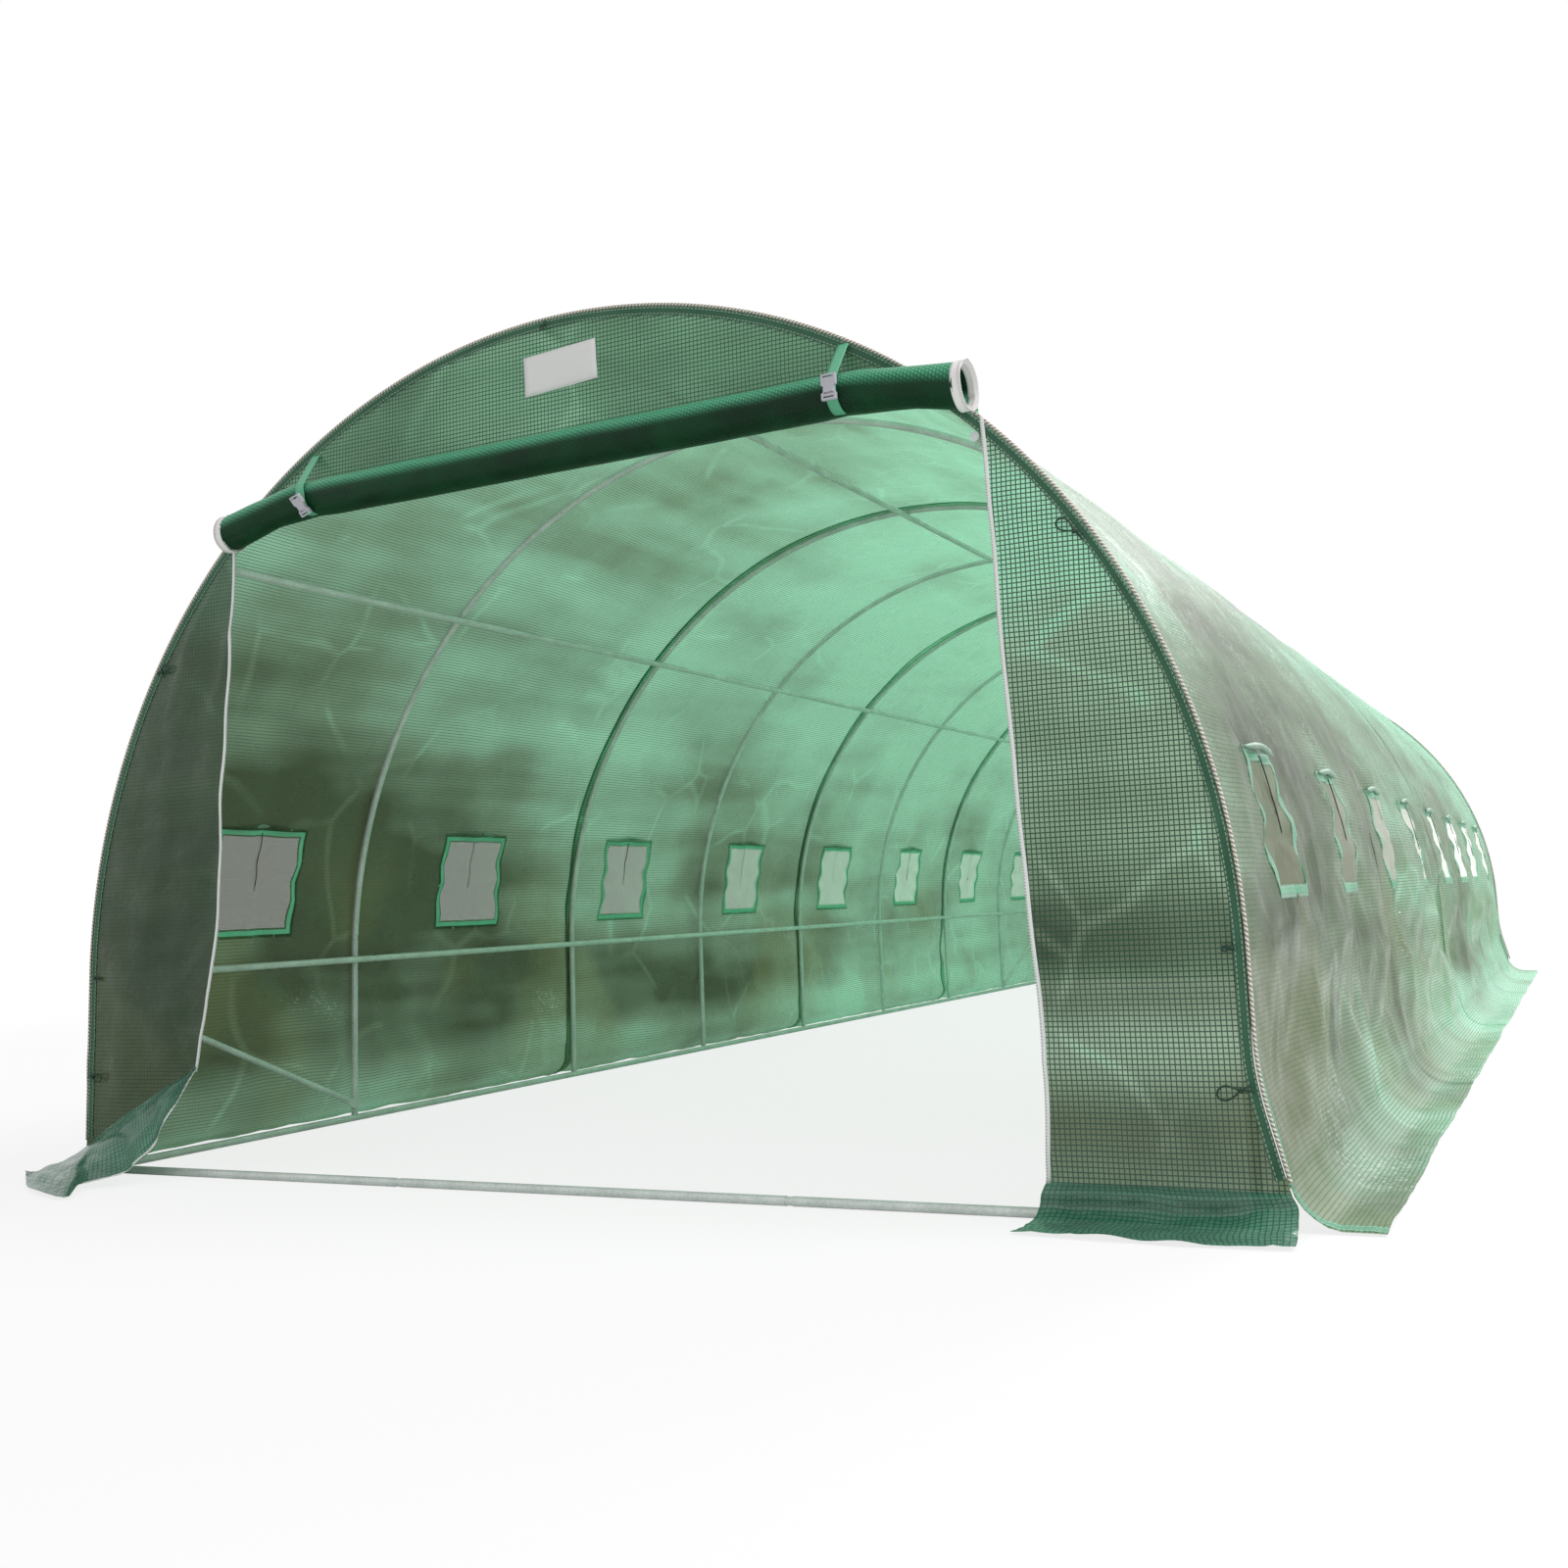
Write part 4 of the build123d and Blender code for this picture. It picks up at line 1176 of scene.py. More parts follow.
@dataclass
class FrontWall:
    """The front wall: gable, side panels with their zips and twisted feet, rolled door, straps and label."""

    tunnel: Tunnel
    line: CoverLine
    tape: float = 0.009
    step: float = 0.018
    hem: float = 0.02
    folds: dict[Side, tuple[float, float]] = field(
        default_factory=lambda: {Side.LEFT: (0.07, 0.262), Side.RIGHT: (0.066, 0.07)}
    )  # height where a panel turns into its foot, at the arch and at the zip
    roll_radius: float = 0.0435
    roll_core: float = 0.024
    roll_turns: float = 6.6
    roll_ends: tuple[float, float] = (-0.958, 1.043)
    roll_height: float = 1.6715
    roll_away: float = 0.054  # from the front wall to the middle of the roll
    droops: tuple[float, float] = (0.054, 0.035)
    flares: tuple[float, float] = (0.0035, 0.0085)
    strap_tops: tuple[float, float] = (-0.7275, 0.762)
    strap_places: tuple[float, float] = (-0.687, 0.7725)
    strap_width: float = 0.026
    strap_top: float = 1.798
    zip_ring: float = 0.02

    def __post_init__(self) -> None:
        """Fit the zips and the roll to the wall."""
        self.zips = {
            Side.LEFT: ZipLine([(-1.0125, 1.6445), (-1.0215, 1.15), (-1.05, 0.64), (-1.13, 0.24), (-1.215, 0.08)]),
            Side.RIGHT: ZipLine([(1.0545, 1.6445), (1.077, 1.15), (1.098, 0.7), (1.1145, 0.36), (1.107, 0.08)]),
        }
        self.film_y = self.tunnel.front + self.line.FILM_SEAT
        self.roll_y = self.tunnel.front - COVER_GAP - self.roll_away

    def build(self, finishes: Finishes) -> None:
        """Make every piece of the front wall."""
        self.gable(finishes["gable"])
        self.panel(Side.LEFT, finishes["left_panel"])
        self.panel(Side.RIGHT, finishes["right_panel"])
        for side in Side:
            self.zip_tape(side, finishes["zip"])
        self.outer_hem(finishes["wall_hem"])
        self.left_foot(finishes)
        self.right_foot(finishes["foot"])
        self.door(finishes["roll"])
        for side in Side:
            self.roll_ring(side, finishes["ring"])
            self.strap(side, finishes["webbing"])
        self.label(finishes["label"])

    def gable_relief(self, x: Array, z: Array) -> Array:
        """How far the gable's film stands out from its plane."""
        folds = 0.0022 * creases(x, z, 15, 0.16, 51) + 0.0015 * creases(x, z, 160, 0.12, 55)
        inner = smooth_between(self.line.top_over(x) - z, 0.0, 0.06)
        return (0.0012 + 0.0012 * ripples(x, z, 0.3, 50) + folds) * inner

    def gable(self, material: Material) -> None:
        """The film above the doorway, up to the arch."""
        reach = self.line.reach_at(self.tunnel.door_top) - GABLE_GAP

        def place(x: Array, share: Array) -> Laid:
            """Fill the space under the arch."""
            z = self.tunnel.door_top + share * (self.line.top_over(x) - self.tunnel.door_top)
            y = self.film_y - self.gable_relief(x, z)
            return stacked(x, y, z), stacked(x, z)

        piece = cloth_grid("gable_film", grid_lines([-reach, reach], self.step), grid_lines([0.0, 1.0], 0.04), place)
        dress(piece, material, "cover_film", "front_gable")
        log.info("gable: %.2f m wide", 2 * reach)

    def panel_relief(self, x: Array, z: Array) -> Array:
        """How far a side panel's film stands out from the wall's plane."""
        edge = smooth_between(self.line.half_width(z) - np.abs(x), 0.0, 0.12)
        waves = 0.006 + 0.006 * ripples(z, x * 0.35, 0.5, 61) + 0.003 * ripples(x, z, 0.17, 62)
        folds = 0.008 * creases(x, z, 8, 0.23, 63) * smooth_between(1.0 - z, 0.0, 0.5)
        folds += 0.006 * creases(x, z, 75, 0.16, 66) * smooth_between(z, 0.9, 1.3)
        above = z - self.fold_height(x)
        return np.maximum(waves + folds, 0.0) * edge * smooth_between(above, 0.0, 0.1)

    def fold_height(self, x: Array) -> Array:
        """Height where the panel on this side turns into its foot."""
        share = np.clip((1.52 - np.abs(x)) / 0.39, 0, 1)
        left, right = (low + share * (high - low) for low, high in (self.folds[side] for side in Side))
        return np.where(x < 0, left, right)

    def outer_edge(self, side: Side, z: Array) -> Array:
        """Where a panel ends at the arch, drawn in at the left foot."""
        edge = side.value * self.line.half_width(z)
        return edge + self.line.drawn_in(edge, z)

    def panel_point(self, x: Array, z: Array, off: float = 0.0) -> Array:
        """A point on a side panel's film, or just outside it."""
        return stacked(x, self.film_y - self.panel_relief(x, z) - off, z)

    def panel(self, side: Side, material: Material) -> None:
        """The film between one zip and the arch, down to its fold."""
        name = side.word
        at_arch, at_zip = self.folds[side]
        top = self.tunnel.door_top

        def place(share: Array, up: Array) -> Laid:
            """Fill the space between the arch and the zip."""
            inward = share if side is Side.LEFT else 1 - share
            fold = at_arch + inward * (at_zip - at_arch)
            z = fold + up * (top - fold)
            outer = self.outer_edge(side, z)
            x = outer + inward * (self.zips[side].at(z) - outer)
            return self.panel_point(x, z), stacked(x, z)

        rows = grid_lines([0.0, 1.0], self.step / 1.5)
        piece = cloth_grid(f"front_film_{name}", grid_lines([0.0, 1.0], 0.045), rows, place)
        dress(piece, material, "cover_film", f"front_panel_{name}")
        log.info("front panel: %s", name)

    def zip_tape(self, side: Side, material: Material) -> None:
        """The half zip along one side of the doorway."""
        name = side.word
        lowest = self.folds[side][1] - 0.002

        def place(across: Array, z: Array) -> Laid:
            """Follow the panel's edge, with U from the coil outwards."""
            x = self.zips[side].at(z) + across
            return self.panel_point(x, z, 0.0004), stacked(np.abs(across), z)

        lines = np.linspace(*((-self.tape, 0.0) if side is Side.LEFT else (0.0, self.tape)), 5)
        rows = grid_lines([lowest, self.tunnel.door_top - 0.06], 0.014)
        piece = cloth_grid(f"zip_tape_{name}", lines, rows, place)
        thicken(piece, TAPE_THICKNESS)
        dress(piece, material, "zip_tape", f"front_zip_{name}")
        log.info("zip: %s", name)

    def outer_hem(self, material: Material) -> None:
        """The doubled, stitched edge of the wall's film, up one side, over the arch and down the other."""
        foot = 0.09
        start, end = self.line.place_of(foot), self.line.place_of(foot, Side.LEFT)

        def place(across: Array, along: Array) -> Laid:
            """Lie on the wall, a little inside its edge."""
            x, z, nx, nz = self.line.at(along)
            inner_x, inner_z = x - nx * across + self.line.drawn_in(x, z), z - nz * across
            on_panel = self.panel_relief(inner_x, inner_z)
            relief = np.where(inner_z > self.tunnel.door_top, self.gable_relief(inner_x, inner_z), on_panel)
            y = self.film_y - relief - 0.0012 - 0.0005 * np.sin(along * 2 * pi / 0.019)
            return stacked(inner_x, y, inner_z), stacked(across, along)

        lines = grid_lines([0.001, self.hem], 0.008)
        piece = cloth_grid("front_wall_hem", lines, grid_lines([start, end], 0.012), place)
        dress(piece, material, "cover_layers")
        log.info("wall hem: %.2f m", end - start)

    def loft(
        self, name: str, rows: Sequence[Sequence[Point]], columns: int, steps: int, crumple: float
    ) -> Piece:
        """A loose sheet through rows of control points.

        Args:
            name: the new piece's name
            rows: from the panel's fold to the free edge, each from left to right
            columns: faces across
            steps: faces from the fold to the edge
            crumple: height of its small folds

        Returns:
            the new piece
        """
        control = np.array(rows)
        count = control.shape[1]
        down = through(control.reshape(len(control), -1), np.linspace(0, len(control) - 1, steps + 1))
        lines = down.reshape(-1, count, 3)
        surface = np.stack([through(line, np.linspace(0, count - 1, columns + 1)) for line in lines])
        fall, width = run_along(surface.mean(axis=1)), run_along(surface[0])
        top, left = surface[0, :, 2].mean(), surface[0, 0, 0]

        def place(across: Array, along: Array) -> Laid:
            """Read the surface and crumple it away from the wall."""
            column, row = across.astype(int), steps - along.astype(int)
            points = surface[row, column].copy()
            cloth = stacked(left + width[column], top - fall[row])
            loose = smooth_between(fall[row], 0.0, 0.06)
            small = ripples(cloth[:, 0], cloth[:, 1], 0.11, 81) + 1.2 * creases(cloth[:, 0], cloth[:, 1], 10, 0.06, 84)
            wave = crumple * np.abs(small) * loose
            points[:, 2] = np.maximum(points[:, 2] + wave, GROUND_GAP)
            points[:, 1] -= wave * 0.6
            return points, cloth

        return cloth_grid(name, np.arange(columns + 1), np.arange(steps + 1), place)

    def left_foot(self, finishes: Finishes) -> None:
        """The left panel's foot, twisted out over the ground, with the end of its zip."""
        y = self.film_y
        fold = [
            (-1.645, -0.066, 0.004), (-1.6, -0.045, 0.012), (-1.565, -0.03, 0.03), (-1.535, -0.015, 0.05),
            (-1.508, -0.004, 0.07), (-1.47, -0.001, 0.096), (-1.43, 0.0, 0.12), (-1.39, 0.0, 0.142),
            (-1.345, 0.0, 0.165), (-1.29, 0.0, 0.192), (-1.235, 0.0, 0.22), (-1.18, 0.0, 0.244),
            (-1.124, 0.0, 0.27),
        ]
        free = [
            (-1.652, -0.07, 0.003), (-1.56, -0.14, 0.004), (-1.47, -0.208, 0.004), (-1.37, -0.262, 0.004),
            (-1.2, -0.315, 0.004), (-1.285, -0.2, 0.012), (-1.25, -0.165, 0.02), (-1.214, -0.13, 0.031),
            (-1.211, -0.1, 0.05), (-1.184, -0.07, 0.085), (-1.186, -0.05, 0.125), (-1.162, -0.03, 0.175),
            (-1.122, -0.002, 0.262),
        ]
        middle = [
            tuple((a + b) / 2 + lift for a, b, lift in zip(first, second, (0.0, -0.006, 0.006)))
            for first, second in zip(fold, free)
        ]
        rows = [[(px, y + py, pz) for px, py, pz in row] for row in (fold, middle, free)]
        piece = self.loft("front_foot_left", rows, 48, 16, 0.005)
        dress(piece, finishes["foot"], "cover_film", "front_skirt_left")
        route = np.array(rows[2][:4:-1])

        def place(across: Array, along: Array) -> Laid:
            """Follow the foot's free edge."""
            points = through(route, along)
            points[:, 0] -= across
            points[:, 1] -= 0.003
            points[:, 2] += 0.0015
            return points, stacked(across, along * 0.04)

        tail = cloth_grid("zip_tape_left_end", np.linspace(self.tape, 0.0, 5), np.linspace(7, 0, 43), place)
        thicken(tail, TAPE_THICKNESS)
        dress(tail, finishes["zip"], "zip_tape", "front_zip_left")
        log.info("left foot and the end of its zip")

    def right_foot(self, material: Material) -> None:
        """The right panel's foot, folded forward on the ground."""
        y = self.film_y
        inner = float(self.zips[Side.RIGHT].at(np.array([0.07]))[0])
        edge = self.line.reach_at(0.066)
        rows = [
            [(inner, y, 0.07), (1.24, y, 0.069), (1.39, y, 0.068), (edge, y, 0.066)],
            [(1.1, y - 0.016, 0.05), (1.25, y - 0.028, 0.058), (1.4, y - 0.02, 0.052), (1.566, y - 0.014, 0.06)],
            [(1.095, y - 0.014, 0.022), (1.25, y - 0.03, 0.03), (1.4, y - 0.024, 0.022), (1.575, y - 0.02, 0.044)],
            [(1.09, y - 0.05, 0.007), (1.25, y - 0.06, 0.012), (1.4, y - 0.056, 0.008), (1.58, y - 0.055, 0.03)],
            [(1.085, y - 0.1, 0.004), (1.24, y - 0.105, 0.005), (1.4, y - 0.11, 0.004), (1.585, y - 0.1, 0.014)],
            [(1.075, y - 0.134, 0.004), (1.25, y - 0.148, 0.005), (1.42, y - 0.158, 0.004), (1.588, y - 0.145, 0.004)],
        ]
        piece = self.loft("front_foot_right", rows, 40, 24, 0.004)
        dress(piece, material, "cover_film", "front_skirt_right")
        log.info("right foot")

    def past_straps(self, x: Array) -> tuple[Array, Array]:
        """How far places on the roll lie past the left and the right strap, from 0 to 1."""
        left, right = self.strap_places[0] - 0.02, self.strap_places[1] + 0.02
        over_left = np.maximum((left - x) / (left - self.roll_ends[0]), 0)
        return over_left, np.maximum((x - right) / (self.roll_ends[1] - right), 0)

    def roll_drop(self, x: Array) -> Array:
        """How far the roll droops past its straps."""
        total = np.zeros_like(x)
        for share, droop in zip(self.past_straps(x), self.droops):
            total += droop * (np.sqrt(share**2 + 0.02) - sqrt(0.02)) / (sqrt(1.02) - sqrt(0.02))
        return total

    def wound(self, x: Array, share: Array, swell: Array | float) -> Array:
        """Points on the cloth of the rolled door.

        Args:
            x: places along the roll
            share: from 0 at the gable's edge to 1 in the middle of the roll
            swell: how much thicker the roll is than its film

        Returns:
            one point for each place
        """
        angle = radians(-28) - share * 2 * pi * self.roll_turns
        turned = share * self.roll_turns
        flare = sum(size * past**1.4 for past, size in zip(self.past_straps(x), self.flares))
        radius = self.roll_radius + flare + swell - (self.roll_radius - self.roll_core) * share
        hang = np.exp(-((turned * 7) ** 2)) * 0.014
        squeeze = sum(0.0035 * np.exp(-(((x - place) / 0.035) ** 2)) for place in self.strap_places)
        slack = 0.0016 * ripples(x, angle * 0.03, 0.34, 91) + 0.002 * creases(x, angle * 0.05, 6, 0.06, 92)
        radius = radius + hang - squeeze * (1 - share) + slack * (1 - share) ** 2 * np.minimum(1, turned * 4)
        y = self.roll_y + radius * np.cos(angle)
        z = self.roll_height - self.roll_drop(x) * np.minimum(1, turned * 3) + radius * np.sin(angle)
        return stacked(x, np.minimum(y, self.film_y), z)

    def door(self, material: Material) -> None:
        """The door, rolled up from its foot to the gable's edge."""

        def place(x: Array, share: Array) -> Laid:
            """Wind the door and keep its cloth's own places."""
            return self.wound(x, share, 0.0), stacked(x, share * 1.45)

        shares = np.linspace(1, 0, int(self.roll_turns * 26))
        piece = cloth_grid("rolled_door", grid_lines(self.roll_ends, 0.024), shares, place)
        dress(piece, material, "cover_layers", "door_roll")
        log.info("rolled door: %.1f turns", self.roll_turns)

    def roll_ring(self, side: Side, material: Material) -> None:
        """The white zip tape at one end of the roll, wound up with the door."""
        end = self.roll_ends[list(Side).index(side)]

        def place(across: Array, share: Array) -> Laid:
            """Wind the tape past the door's edge, a little flared."""
            out = np.abs(across - 0.006) / self.zip_ring
            points = self.wound(np.full_like(across, end), 0.1 + share * 0.5, 0.003 + 0.002 * out)
            points[:, 0] = end + side.value * across * (1 - 0.25 * share)
            return points, stacked(across, share * 1.45)

        widths = np.linspace(-0.004, self.zip_ring, 5)
        shares = np.linspace(1, 0, 100) if side is Side.RIGHT else np.linspace(0, 1, 100)
        piece = cloth_grid(f"wound_zip_{side.word}", widths, shares, place)
        thicken(piece, 0.0012)
        dress(piece, material, "zip_tape", "door_roll_ends")
        log.info("wound zip: %s", side.word)

    def strap(self, side: Side, material: Material) -> None:
        """A webbing strap from the gable round the front of the roll, leaning a little."""
        number = list(Side).index(side)
        high, low = self.strap_tops[number], self.strap_places[number]
        radius = self.roll_radius + 0.0005
        middle = Vector((self.roll_y, self.roll_height))
        front = self.tunnel.front - 0.0006
        top = Vector((front, self.strap_top))
        bottom = Vector((front, self.tunnel.door_top + 0.014))
        angles = []
        for outside, turn in ((top, 1), (bottom, -1)):
            ray = outside - middle
            angles.append(atan2(ray.y, ray.x) + turn * acos(min(1.0, radius / ray.length)))
        first, last = angles
        if last < first:
            last += 2 * pi
        path = [tuple(top)]
        path += [(middle.x + radius * cos(a), middle.y + radius * sin(a)) for a in np.linspace(first, last, 30)]
        path.append(tuple(bottom))
        route = np.array(path)
        run = run_along(route)

        def place(across: Array, along: Array) -> Laid:
            """Follow the route."""
            y, z = (np.interp(along, run, route[:, k]) for k in (0, 1))
            x = low + (high - low) * np.clip((z - self.roll_height) / (self.strap_top - self.roll_height), 0, 1)
            return stacked(x + across, y, z), stacked(across + self.strap_width / 2, along)

        lines = np.linspace(-self.strap_width / 2, self.strap_width / 2, 5)
        rows = run[-1] - grid_lines([0.0, run[-1]], 0.008)
        piece = cloth_grid(f"roll_strap_{side.word}", lines, rows, place)
        thicken(piece, TAPE_THICKNESS)
        dress(piece, material, "webbing", "door_straps")
        log.info("strap: %s", side.word)

    def label(self, material: Material) -> None:
        """The blank woven label sewn on the gable."""
        low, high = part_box("gable_label")
        middle = (low + high) / 2
        width, height, tilt = 0.206, 0.098, radians(3)

        def place(across: Array, up: Array) -> Laid:
            """Lie on the gable's film, turned a little."""
            x = middle.x + across * cos(tilt) - up * sin(tilt)
            z = middle.z + across * sin(tilt) + up * cos(tilt)
            y = self.film_y - self.gable_relief(x, z) - 0.0008
            return stacked(x, y, z), stacked(across, up)

        piece = cloth_grid(
            "blank_label", np.linspace(-width / 2, width / 2, 15), np.linspace(-height / 2, height / 2, 8), place
        )
        thicken(piece, 0.0008)
        dress(piece, material, "label", "gable_label")
        log.info("label")


@dataclass
class RearWall:
    """The rear wall, with its door zipped shut."""

    tunnel: Tunnel
    line: CoverLine
    zip_place: float = 1.05
    foot: float = 0.1
    step: float = 0.03

    def relief(self, x: Array, z: Array) -> Array:
        """How far the rear film stands out."""
        edge = smooth_between(self.line.half_width(z) - np.abs(x), 0.0, 0.12)
        waves = 0.004 + 0.005 * ripples(x, z, 0.6, 101) + 0.006 * creases(x, z, 68, 0.3, 102)
        return np.maximum(waves, 0) * edge

    def point(self, x: Array, z: Array, off: float = 0.0) -> Array:
        """A point on the rear film or outside it."""
        return stacked(x, self.tunnel.rear - self.line.FILM_SEAT + self.relief(x, z) + off, z)

    def build(self, finishes: Finishes) -> None:
        """Make the gable, both panels, the door, its zips and the skirt."""
        top = self.tunnel.door_top
        reach = self.line.reach_at(top) - GABLE_GAP

        def under_arch(x: Array, share: Array) -> Laid:
            """Fill the space under the arch."""
            z = top + share * (self.line.top_over(x) - top)
            return self.point(x, z), stacked(x, z)

        lines = grid_lines([-reach, reach], self.step)[::-1]
        gable = cloth_grid("rear_gable_film", lines, grid_lines([0.0, 1.0], 0.07), under_arch)
        dress(gable, finishes["rear"], "cover_film", "rear_gable")
        for side in Side:
            self.panel(side, finishes)
        height = grid_lines([self.foot, top], self.step)

        def flat(x: Array, z: Array) -> Laid:
            """Hang in the doorway."""
            return self.point(x, z), stacked(x, z)

        half = self.zip_place
        upper = self.line.half_width(height).min()
        door = cloth_grid("rear_door_film", grid_lines([-upper, upper], self.step)[::-1], height, flat)
        dress(door, finishes["rear"], "cover_film", "rear_door")
        for side in Side:
            tape = cloth_grid(
                f"rear_zip_{side.word}",
                np.linspace(side.value * half + 0.009, side.value * half - 0.009, 5),
                grid_lines([self.foot, top - 0.12], 0.02),
                lambda x, z: (self.point(x, z, 0.0006), stacked(np.abs(np.abs(x) - half), z)),
            )
            thicken(tape, TAPE_THICKNESS)
            dress(tape, finishes["zip"], "zip_tape", "rear_zips")
        self.skirt(finishes)
        log.info("rear wall")

    def panel(self, side: Side, finishes: Finishes) -> None:
        """The film beside the rear door."""
        height = grid_lines([self.foot, self.tunnel.door_top], self.step)
        upper = float(self.line.half_width(height).min())

        def place(share: Array, z: Array) -> Laid:
            """Fill the space between the door and the arch."""
            outer = self.line.half_width(z)
            x = side.value * (upper + share * (outer - upper))
            return self.point(x, z), stacked(x, z)

        lines = np.linspace(0, 1, 18)
        piece = cloth_grid(
            f"rear_film_{side.word}", lines if side is Side.LEFT else lines[::-1], height, place
        )
        dress(piece, finishes["rear"], "cover_film", f"rear_panel_{side.word}")

    def skirt(self, finishes: Finishes) -> None:
        """The rear wall's foot, laid out on the ground."""
        route = np.array(rounded([(0.0, self.foot), (0.0, 0.002), (0.235, 0.002)], [0.035]))
        run = run_along(route)

        def place(x: Array, down: Array) -> Laid:
            """Follow the bend, rumpled on the ground."""
            out, z = (np.interp(down, run, route[:, k]) for k in (0, 1))
            loose = smooth_between(down, 0.02, 0.12)
            lift = np.abs(0.006 * ripples(x, down, 0.2, 111)) * loose
            wander = 0.008 * ripples(x, x * 0, 0.5, 112) * smooth_between(down, 0.15, 0.3)
            above = self.relief(x, np.full_like(x, self.foot)) * (1 - loose)
            y = self.tunnel.rear - self.line.FILM_SEAT + above + out - np.abs(wander)
            return stacked(x, y, z + lift), stacked(x, self.foot - down)

        reach = self.line.reach_at(self.foot)
        piece = cloth_grid(
            "rear_foot",
            grid_lines([-reach, reach], self.step)[::-1],
            grid_lines([0.0, run[-1]], 0.015)[::-1],
            place,
        )
        dress(piece, finishes["foot"], "cover_film", "rear_skirt")


@dataclass
class CoverTies:
    """Short elastic cords knotted round the front hoop, through eyelets in the wall."""

    tunnel: Tunnel
    angles: tuple[float, ...] = (33.0, 90.0, 148.0)
    leg_heights: tuple[float, ...] = (0.245, 0.5)
    leans: tuple[float, ...] = (38.0, -60.0, -25.0, 4.0, -8.0, 12.0, -4.0)
    sizes: tuple[float, ...] = (0.95, 0.35, 0.7, 0.8, 1.0, 0.3, 0.35)  # of each loop
    cord: float = 0.0038
    loop: tuple[Point, ...] = (
        (0.024, -0.003, -0.006), (0.012, -0.004, -0.001), (0.0, -0.006, 0.0), (-0.012, -0.006, 0.007),
        (-0.028, -0.006, 0.014), (-0.043, -0.006, 0.006), (-0.044, -0.006, -0.008), (-0.03, -0.006, -0.015),
        (-0.013, -0.007, -0.008), (-0.001, -0.008, -0.001), (0.012, -0.005, 0.006), (0.022, -0.003, 0.004),
    )  # towards the edge of the wall, forward and up

    def build(self, material: Material) -> None:
        """Tie one loop at each eyelet, beside the hoop and towards the middle of the tunnel."""
        span, spring = self.tunnel.half_span, self.tunnel.spring
        spots = [(span * cos(way), spring + span * sin(way)) for way in map(radians, self.angles)]
        spots += [(side.value * span, height) for height in self.leg_heights for side in Side]
        for number, ((x, z), angle, small) in enumerate(zip(spots, self.leans, self.sizes), start=1):
            outwards = -1 if x < -0.01 else 1
            lean = Matrix.Rotation(radians(angle), 3, "Y")
            start = Vector((x - outwards * 0.012, self.tunnel.front - 0.0045, z))
            points = [
                tuple(start + lean @ Vector((outwards * across * small, forward, up * small)))
                for across, forward, up in self.loop
            ]
            piece = nurbs_cord(f"cover_tie_{number}", points, self.cord)
            knot = self.knot(number, start + Vector((0, -0.003, 0)))
            for part in (piece, knot):
                dress(part, material, "elastic", "cover_ties")
        log.info("cover ties: %d", len(spots))

    def knot(self, number: int, middle: Vector) -> Piece:
        """The pulled-tight middle of one bow."""
        deselect()
        bpy.ops.mesh.primitive_uv_sphere_add(segments=14, ring_count=9, radius=0.0052, location=middle)
        knot = bpy.context.object
        knot.name = knot.data.name = f"cover_tie_knot_{number}"
        with editing():
            bpy.ops.mesh.select_all(action="SELECT")
            bpy.ops.transform.resize(value=(1.15, 0.75, 0.9))
        bpy.ops.object.transform_apply(location=True, rotation=True, scale=True)
        for vertex in knot.data.vertices:
            ray = vertex.co - middle
            vertex.co = middle + ray * (1 + 0.16 * sin(atan2(ray.z, ray.x) * 3 + ray.y * 900))
        bpy.ops.object.shade_smooth()
        return knot


